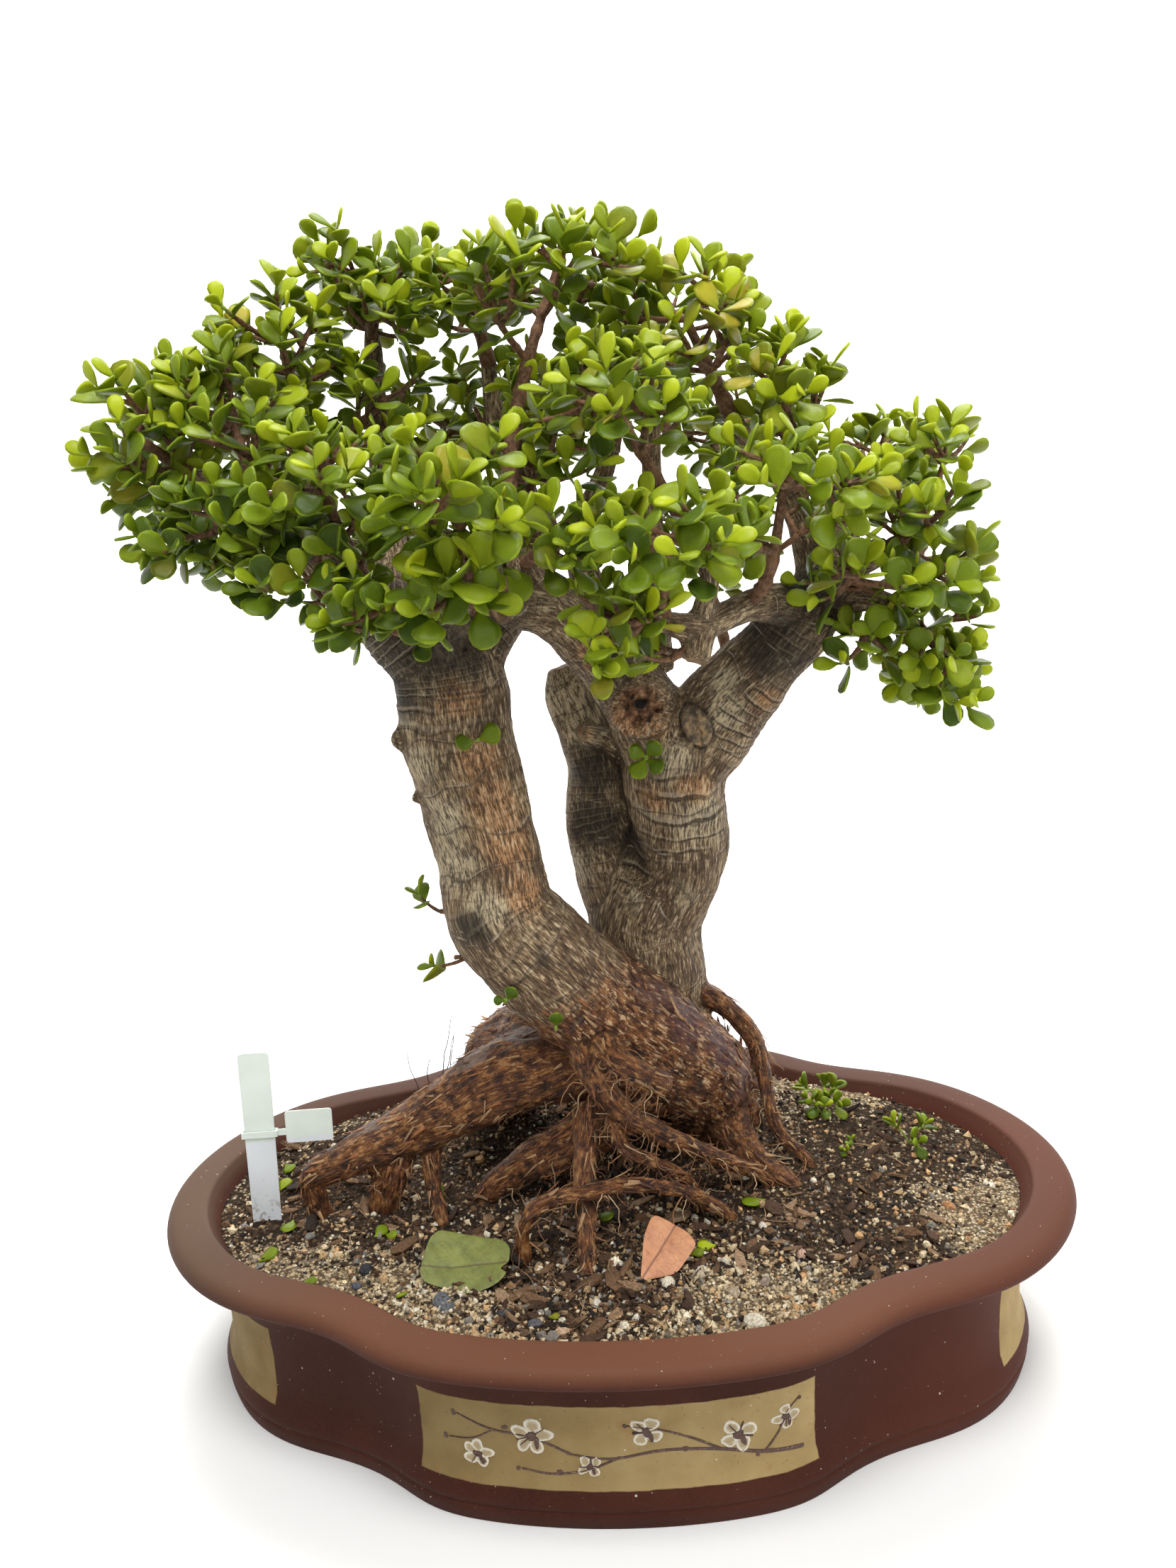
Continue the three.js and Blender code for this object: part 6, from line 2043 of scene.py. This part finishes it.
def fallen_leaf(name, outline, place, turn, lean, vein, finish):
    """A thin blade that stands with its low edge in the grit, leans back and curls at its sides."""
    edge = softened(outline, 2)
    half = np.abs(np.array(outline))[:, 0].max()
    low = np.array(outline)[:, 1].min()
    rings = []
    for side, shrinks in ((-1, SHRINK[::-1]), (1, SHRINK)):
        for shrink in shrinks:
            flat = edge * shrink
            thick = HALF_BLADE * min(1, (1 - shrink) / 0.04)
            curl = 3.5 * (flat[:, 0] / half) ** 2
            crease = 0.6 * np.exp(-((vein(flat) / 1.1) ** 2))
            wave = 0.45 * np.sin(flat[:, 0] / 4) * np.cos(flat[:, 1] / 3.4)
            rings.append(np.column_stack([flat, side * thick - 1.0 + curl - crease + wave]))
    rings = np.array(rings)
    local, faces = closed_rings(rings, rings[0].mean(0), rings[-1].mean(0))
    back = local[:, 1] * math.cos(lean) - local[:, 2] * math.sin(lean)
    rise = (local[:, 1] - low) * math.sin(lean) + local[:, 2] * math.cos(lean)
    x = place[0] + local[:, 0] * math.cos(turn) - back * math.sin(turn)
    y = place[1] + local[:, 0] * math.sin(turn) + back * math.cos(turn)
    ground = ground_at((place[0], place[1] + low * math.cos(lean)))
    heap = Heap()
    heap.add(np.column_stack([x, y, rise + ground]), faces, local=local, vein=vein(local[:, :2]))
    return heap.piece("big_" + name, [finish], [name])


print("rings of a blade:", 2 * len(SHRINK))

# %% The dry finish, and the two leaves
def dry_leaf_skin(name, dark, pale, vein_colour):
    skin = Finish(name)
    place = skin.place()
    local = skin.mark("local", "Vector")
    blotch = skin.noise(place, 9, detail=4, rough=0.6)
    flat_place = skin.stretch(local, (1, 1, 0))
    sockets = {"Vector": flat_place, "Scale": 0.07, "Distortion": 1.5}
    bands = skin.node("ShaderNodeTexWave", {"bands_direction": "DIAGONAL"}, sockets, output="Fac")
    midrib = 1 - skin.between(abs(skin.mark("vein")), 0.25, 0.8)
    specks = skin.between(skin.noise(place, 2.4, detail=2), 0.68, 0.76)
    creases = skin.line(skin.noise(flat_place, 14, detail=2) * 5, 0.06) * 0.2
    covers = (skin.between(bands, 0.8, 1.0) * 0.12, midrib * 0.75, specks * 0.5, creases)
    blade = skin.ramp(blotch, (0.3, dark), (0.7, pale))
    colour = skin.layers(blade, *[(cover, vein_colour) for cover in covers])
    return skin.done(Base_Color=colour, Roughness=0.5 + blotch * 0.2,
                     Normal=skin.bumps(bands * 0.3 + blotch - creases, 0.6, 0.8))


GREEN_LEAF_COLOURS = [(0.100, 0.115, 0.020), (0.20, 0.22, 0.045), (0.075, 0.050, 0.015)]
RED_LEAF_COLOURS = [(0.40, 0.16, 0.075), (0.60, 0.29, 0.14), (0.12, 0.04, 0.025)]
green_dry = dry_leaf_skin("fallen_green_leaf", *GREEN_LEAF_COLOURS)
red_dry = dry_leaf_skin("fallen_red_leaf", *RED_LEAF_COLOURS)
fallen_leaf("fallen_leaf_green", GREEN_OUTLINE, (-82, -89), -0.04, math.radians(24),
            lambda p: p[:, 1] + 2.5 - 1.2 * np.sin(p[:, 0] / 12), green_dry)
fallen_leaf("fallen_leaf_red", RED_OUTLINE, (30, -83), 0, math.radians(34),
            lambda p: p[:, 0] * 0.83 - p[:, 1] * 0.55 + 1.2, red_dry)
print("triangles of the leaning leaves:",
      triangles["big_fallen_leaf_green"], triangles["big_fallen_leaf_red"])

# %% Small leaves and weeds on the soil
# Each fallen jade leaf: place, length, how green, how yellow.
SMALL_LEAVES = [
    ((-217, 26), 12, 0.55, 0), ((-214, 7), 11, 0.75, 0.1), ((-198, -38), 13, 0.6, 0),
    ((-202, -68), 12, 0.6, 0.05), ((-176, 34), 9, 0.8, 0.3), ((-140, -47), 10, 0.6, 0),
    ((-133, -50), 9, 0.65, 0), ((-111, -9), 12, 0.35, 0), ((85, -27), 15, 0.6, 0),
    ((54, -68), 11, 0.9, 0), ((-115, -107), 8, 0.7, 0.1), ((-171, -92), 8, 0.5, 0),
    ((-186, 45), 8, 0.7, 0.4), ((-5, -38), 13, 0.4, 0), ((48, -75), 8, 0.55, 0.1),
    ((-30, -128), 6, 0.4, 0.5),
]
# Each weed: place, size and number of stems.
WEEDS = [
    ((143, 74), 1.25, 5), ((191, 30), 1.2, 3), ((151, 24), 0.6, 2), ((140, 62), 1.0, 3),
    ((-150, 52), 0.5, 3),
]


def lying_leaf(where, length, tone, blush, chance):
    turn = chance.uniform(0, TURN)
    axis = unit(np.array([math.cos(turn), math.sin(turn), chance.uniform(0.0, 0.3)]))
    side = unit(np.cross([chance.normal(0, 0.2), chance.normal(0, 0.2), 1], axis))
    root = np.array([*where, ground_at(where) + 1.8]) - axis * length / 2
    return {"root": root, "axis": axis, "side": side, "above": np.cross(axis, side), "length": length,
            "wide": length * 0.40, "cup": 0.12, "bend": 0.05, "twist": 0.1, "tone": tone, "blush": blush}


chance = np.random.default_rng(SEEDS["litter"])
litter = Heap()
add_leaves(litter, [lying_leaf(*row, chance) for row in SMALL_LEAVES])
for where, size, stems in WEEDS:
    ground = ground_at(where)
    for stem in range(stems):
        turn = TURN * (stem + chance.uniform(0, 0.5)) / stems
        lean = np.array([math.cos(turn), math.sin(turn), 0]) * size
        start = np.array([*where, ground - 1])
        end = start + lean * chance.uniform(5, 12) + UPRIGHT * size * chance.uniform(5, 13)
        along = unit(end - start)
        across = unit(np.cross(along, UPRIGHT) + 0.01)
        stalk = bent_line(start, start + UPRIGHT * 6 * size, end, 7)
        add_stalk(litter, stalk, np.full(7, 0.5 * size), 0.1, sides=5)
        add_leaves(litter, plan_leaves(end, along, across, 2, 9 * size, 0.35, chance, 0.36))
litter.piece("small_leaves_and_weeds", [leaf_finish, twig_finish])
print("triangles of small leaves and weeds:", triangles["small_leaves_and_weeds"])


# %% Threads
def wandering_line(start, direction, length, steps, bend, chance, pull=0.0):
    """A thin line that changes its direction a little at each step. pull draws it down."""
    places = [np.array(start, float)]
    for _ in range(steps):
        direction = unit(direction + bend * chance.normal(size=3) - pull * UPRIGHT)
        places.append(places[-1] + direction * length / steps)
    return np.array(places)


def add_thread(heap, line, thick, colour, chance):
    radii = thick * np.linspace(1, 0.45, len(line))
    points, faces = tube(line, radii, 4)
    heap.add(points, faces, hue=np.array(colour) * chance.uniform(0.7, 1.25))


def thread_skin():
    skin = Finish("dry_fibre")
    mottle = skin.noise(skin.place(), 2, detail=3)
    hue = skin.mark("hue", "Vector")
    colour = skin.blend(mottle, skin.stretch(hue, (0.6, 0.55, 0.5)), hue)
    return skin.done(Base_Color=colour, Roughness=0.75 + mottle * 0.15)


fibre_finish = thread_skin()
print("nodes of the thread finish:", len(fibre_finish.node_tree.nodes))

# %% Straws and hairs
STRAWS = 90
STRAW_COLOURS = [(0.30, 0.20, 0.11), (0.16, 0.09, 0.05), (0.07, 0.045, 0.03)]
HAIR_PLACES = [(-130, 95), (-126, 98), (-136, 90), (-122, 96), (-118, 100)]

straw_heap = Heap()
for where in places_on_soil(chance, STRAWS, 0.93):
    turn = chance.uniform(0, TURN)
    flat = np.array([math.cos(turn), math.sin(turn), chance.uniform(-0.05, 0.15)])
    start = [*where, ground_at(where) + 1.6]
    line = wandering_line(start, flat, chance.uniform(9, 30), 6, 0.1, chance)
    line[:, 2] = np.maximum(line[:, 2], soil_height(line[:, 0], line[:, 1]) + 1.2)
    add_thread(straw_heap, line, chance.uniform(0.3, 0.75), STRAW_COLOURS[chance.integers(3)], chance)
for where in HAIR_PLACES:
    start = [*where, ground_at(where) - 1]
    rise = np.array([chance.normal(0, 0.25), chance.normal(0, 0.1), 1])
    line = wandering_line(start, rise, chance.uniform(40, 68), 9, 0.12, chance)
    add_thread(straw_heap, line, 0.5, STRAW_COLOURS[-1], chance)
straw_heap.piece("straws", [fibre_finish])
print("straw triangles:", triangles["straws"])

# %% [markdown]
# ### Rootlets and peeling skin
# Thin rootlets hang from the bare roots, and the old skin peels off in short tan strips. Both are far
# too thin for the cubes that the wood was joined with, so they are pieces of their own: threads that
# wander from the roots, and strips that lie along the fibres with one end lifted.

# %% Rootlets
ROOTLETS = 460
ROOTLET_COLOURS = [(0.20, 0.095, 0.045), (0.34, 0.17, 0.075), (0.46, 0.33, 0.20)]
# Where rootlets hang. A name that comes twice gets twice as many.
HANGING_FROM = ["plate", "front", "crossing", "long", "thin", "blunt", "tail", "arch",
                "plate_leg_outer", "back_left", "under", "long", "thin", "blunt", "front"]

rootlet_heap = Heap()
for _ in range(ROOTLETS):
    line, radii = wood_lines[HANGING_FROM[chance.integers(len(HANGING_FROM))]]
    step = chance.integers(2, len(line) - 2)
    turn = chance.uniform(0, TURN)
    out = unit(np.array([math.cos(turn), math.sin(turn) - 0.5, chance.uniform(-0.9, 0.2)]))
    start = line[step] + out * radii[step] * 0.8
    places = wandering_line(start, out, chance.uniform(7, 26), 9, 0.32, chance, pull=0.12)
    ground = soil_height(places[:, 0], places[:, 1])
    if places[0, 2] < ground[0] + 2:
        continue
    places[:, 2] = np.maximum(places[:, 2], ground + 0.6)
    rootlet_colour = ROOTLET_COLOURS[chance.choice(3, p=[0.5, 0.3, 0.2])]
    add_thread(rootlet_heap, places, chance.uniform(0.25, 0.6), rootlet_colour, chance)
rootlet_heap.piece("rootlets", [fibre_finish])
print("rootlet triangles:", triangles["rootlets"])

# %% Peeling strips
STRIPS = 1600
STRIP_COLOURS = [(0.38, 0.23, 0.115), (0.27, 0.105, 0.038), (0.12, 0.045, 0.022)]
STRIP_T = np.linspace(0, 1, 4)
STRIP_CORNERS = ((-1, 0), (1, 0), (1, 0.3), (-1, 0.3))

strip_heap = Heap()
low_points = np.flatnonzero((low_part > 0.35) & (hollow * knot_zone < 0.1) & (wood_points[:, 2] > 108))
for at in chance.choice(low_points, STRIPS, replace=False):
    line, _ = wood_lines[limb_names[limb_of[at]]]
    fibre = unit(np.gradient(line, axis=0))[np.abs(line - wood_points[at]).sum(1).argmin()]
    up = wood_normals[at]
    fibre = unit(fibre - up * fibre.dot(up) + 0.25 * chance.normal(size=3))
    side = np.cross(up, fibre)
    length, wide, lift = [chance.uniform(*limits) for limits in ((3.5, 12), (0.4, 1.3), (0.3, 2.4))]
    middle = carved[at] + up * 0.1 + fibre * length * STRIP_T[:, None] + up * (lift * STRIP_T**2)[:, None]
    taper = wide * (1 - 0.75 * STRIP_T**2)
    rings = np.stack([middle + side * (taper * s)[:, None] + up * t for s, t in STRIP_CORNERS], 1)
    points, faces = closed_rings(rings, middle[0], middle[-1])
    strip_colour = STRIP_COLOURS[chance.choice(3, p=[0.42, 0.38, 0.20])]
    strip_heap.add(points, faces, hue=np.array(strip_colour) * chance.uniform(0.65, 1.25))
strip_heap.piece("peeling_skin", [fibre_finish])
print("strip triangles:", triangles["peeling_skin"])

# %% [markdown]
# ### Leaves straight on the old wood
# A jade wakes old buds anywhere on its trunk, so a few leaves sit on the bark itself. They could be
# left out as noise, but they break the bare trunks in the photo. There are too few for a rule, and
# each is listed one by one.

# %% Leaves straight on the old wood
# Each: the foot on the bark, where it points, length and how green.
TRUNK_LEAVES = [
    ((-64, -14, 396), (-0.9, -0.5, 0.0), 12, 0.42), ((-62, -14, 397), (0.9, -0.45, 0.35), 15, 0.55),
    ((32, 12, 377), (-0.75, -0.5, 0.45), 12, 0.45), ((33, 12, 377), (0.55, -0.5, 0.65), 13, 0.42),
    ((32, 12, 375), (-0.5, -0.55, -0.6), 14, 0.55), ((33, 12, 375), (0.7, -0.5, -0.5), 12, 0.36),
    ((-55, -34, 246), (0.5, -0.3, 0.8), 10, 0.3), ((-56, -34, 246), (-0.8, -0.4, 0.1), 7, 0.25),
    ((-27, -38, 230), (0.1, -0.3, 0.9), 10, 0.3), ((-84, -20, 452), (-0.5, -0.7, -0.5), 13, 0.3),
]
trunk_leaf_heap = Heap()
planned = []
for foot, towards, length, tone in TRUNK_LEAVES:
    axis = unit(np.array(towards, float))
    facing = unit(np.array([0.1, -1, 0.35]))
    above = unit(facing - axis * facing.dot(axis))
    planned.append({"root": np.array(foot, float), "axis": axis, "side": np.cross(above, axis),
                    "above": above, "length": length, "wide": 0.43 * length, "cup": 0.15,
                    "bend": -0.05, "twist": 0.1, "tone": tone, "blush": 0})
    stalk = np.array(foot) + np.linspace(-5, 0.8, 4)[:, None] * axis
    add_stalk(trunk_leaf_heap, stalk, np.full(4, 0.8), 0.2, sides=5)
add_leaves(trunk_leaf_heap, planned)
trunk_leaf_heap.piece("leaves_on_trunk", [leaf_finish, twig_finish])
print("leaves on the trunk:", len(planned))

# %% [markdown]
# ### Stake and tag
# A thin plastic plant label and a tag that is clipped round it. Both are flat and already have their
# true size, so a new shape would gain nothing: each piece starts as a copy of the measured body, and
# only its corners are rounded and its edges softened, as moulded plastic has them. The finish is
# greenish paper above the collar and whiter plastic below, with dirt at the foot.

# %% Stake and tag: the finish
COLLAR_HEIGHT = 158


def white_plastic():
    plastic = Finish("label_plastic")
    place = plastic.place()
    height = plastic.axis(place, "Z")
    cloud = plastic.noise(place, 22, detail=3)
    white = plastic.ramp(cloud, (0.3, (0.60, 0.63, 0.66)), (0.7, (0.68, 0.71, 0.74)))
    paper = plastic.ramp(cloud, (0.3, (0.60, 0.66, 0.60)), (0.7, (0.67, 0.73, 0.67)))
    upper = plastic.between(height, COLLAR_HEIGHT - 0.6, COLLAR_HEIGHT + 0.6)
    specks = plastic.between(plastic.noise(place, 3, detail=4), 0.5, 0.62)
    dust = (1 - plastic.between(height, 104, 128)) * specks
    scuffs = plastic.between(plastic.noise(place, 5, detail=5, rough=0.7), 0.66, 0.70) * 0.5
    colour = plastic.layers(white, (upper, paper), (dust * 0.7, (0.22, 0.17, 0.12)),
                            (scuffs, (0.10, 0.09, 0.07)))
    return plastic.done(Base_Color=colour, Roughness=0.42 + cloud * 0.1,
                        Normal=plastic.bumps(cloud, 0.3, 0.3))


plastic_finish = white_plastic()
print("nodes of the plastic:", len(plastic_finish.node_tree.nodes))

# %% Stake and tag: round corners
WELD = 0.005
EDGE_ROUNDING = 0.16


def bevelled(shape, edges, offset, segments):
    bmesh.ops.bevel(shape, geom=edges, offset=offset * MM, segments=segments, profile=0.5,
                    affect="EDGES", clamp_overlap=True)


def rounded_plate(node, name, thickness, corner):
    """A copy of a flat measured piece, with round corners and softened edges."""
    shape = bmesh.new()
    shape.from_mesh(bpy.data.objects[node].data)
    bmesh.ops.remove_doubles(shape, verts=shape.verts, dist=WELD * MM)
    bmesh.ops.dissolve_limit(shape, angle_limit=math.radians(1), verts=shape.verts, edges=shape.edges)
    across = [edge for edge in shape.edges
              if edge.is_convex and abs(edge.calc_length() - thickness * MM) < 0.15 * MM
              and edge.calc_face_angle(0) > 0.5]
    bevelled(shape, across, corner, 5)
    sharp = [edge for edge in shape.edges if edge.is_convex and edge.calc_face_angle(0) > 0.6]
    bevelled(shape, sharp, EDGE_ROUNDING, 2)
    open_edges = sum(not edge.is_manifold for edge in shape.edges)
    mesh = bpy.data.meshes.new(name)
    shape.to_mesh(mesh)
    shape.free()
    made = bpy.data.objects.new(name, mesh)
    scene.collection.objects.link(made)
    mesh.materials.clear()
    mesh.materials.append(plastic_finish)
    dress(made, [node])
    print(name, "corners rounded:", len(across), "open edges:", open_edges)


rounded_plate("label_stake", "plant_stake", 1.3, 2.6)
rounded_plate("label_tag", "plant_tag", 0.8, 2.0)

print("pieces:", len(triangles), "triangles:", sum(triangles.values()))
bpy.context.view_layer.update()
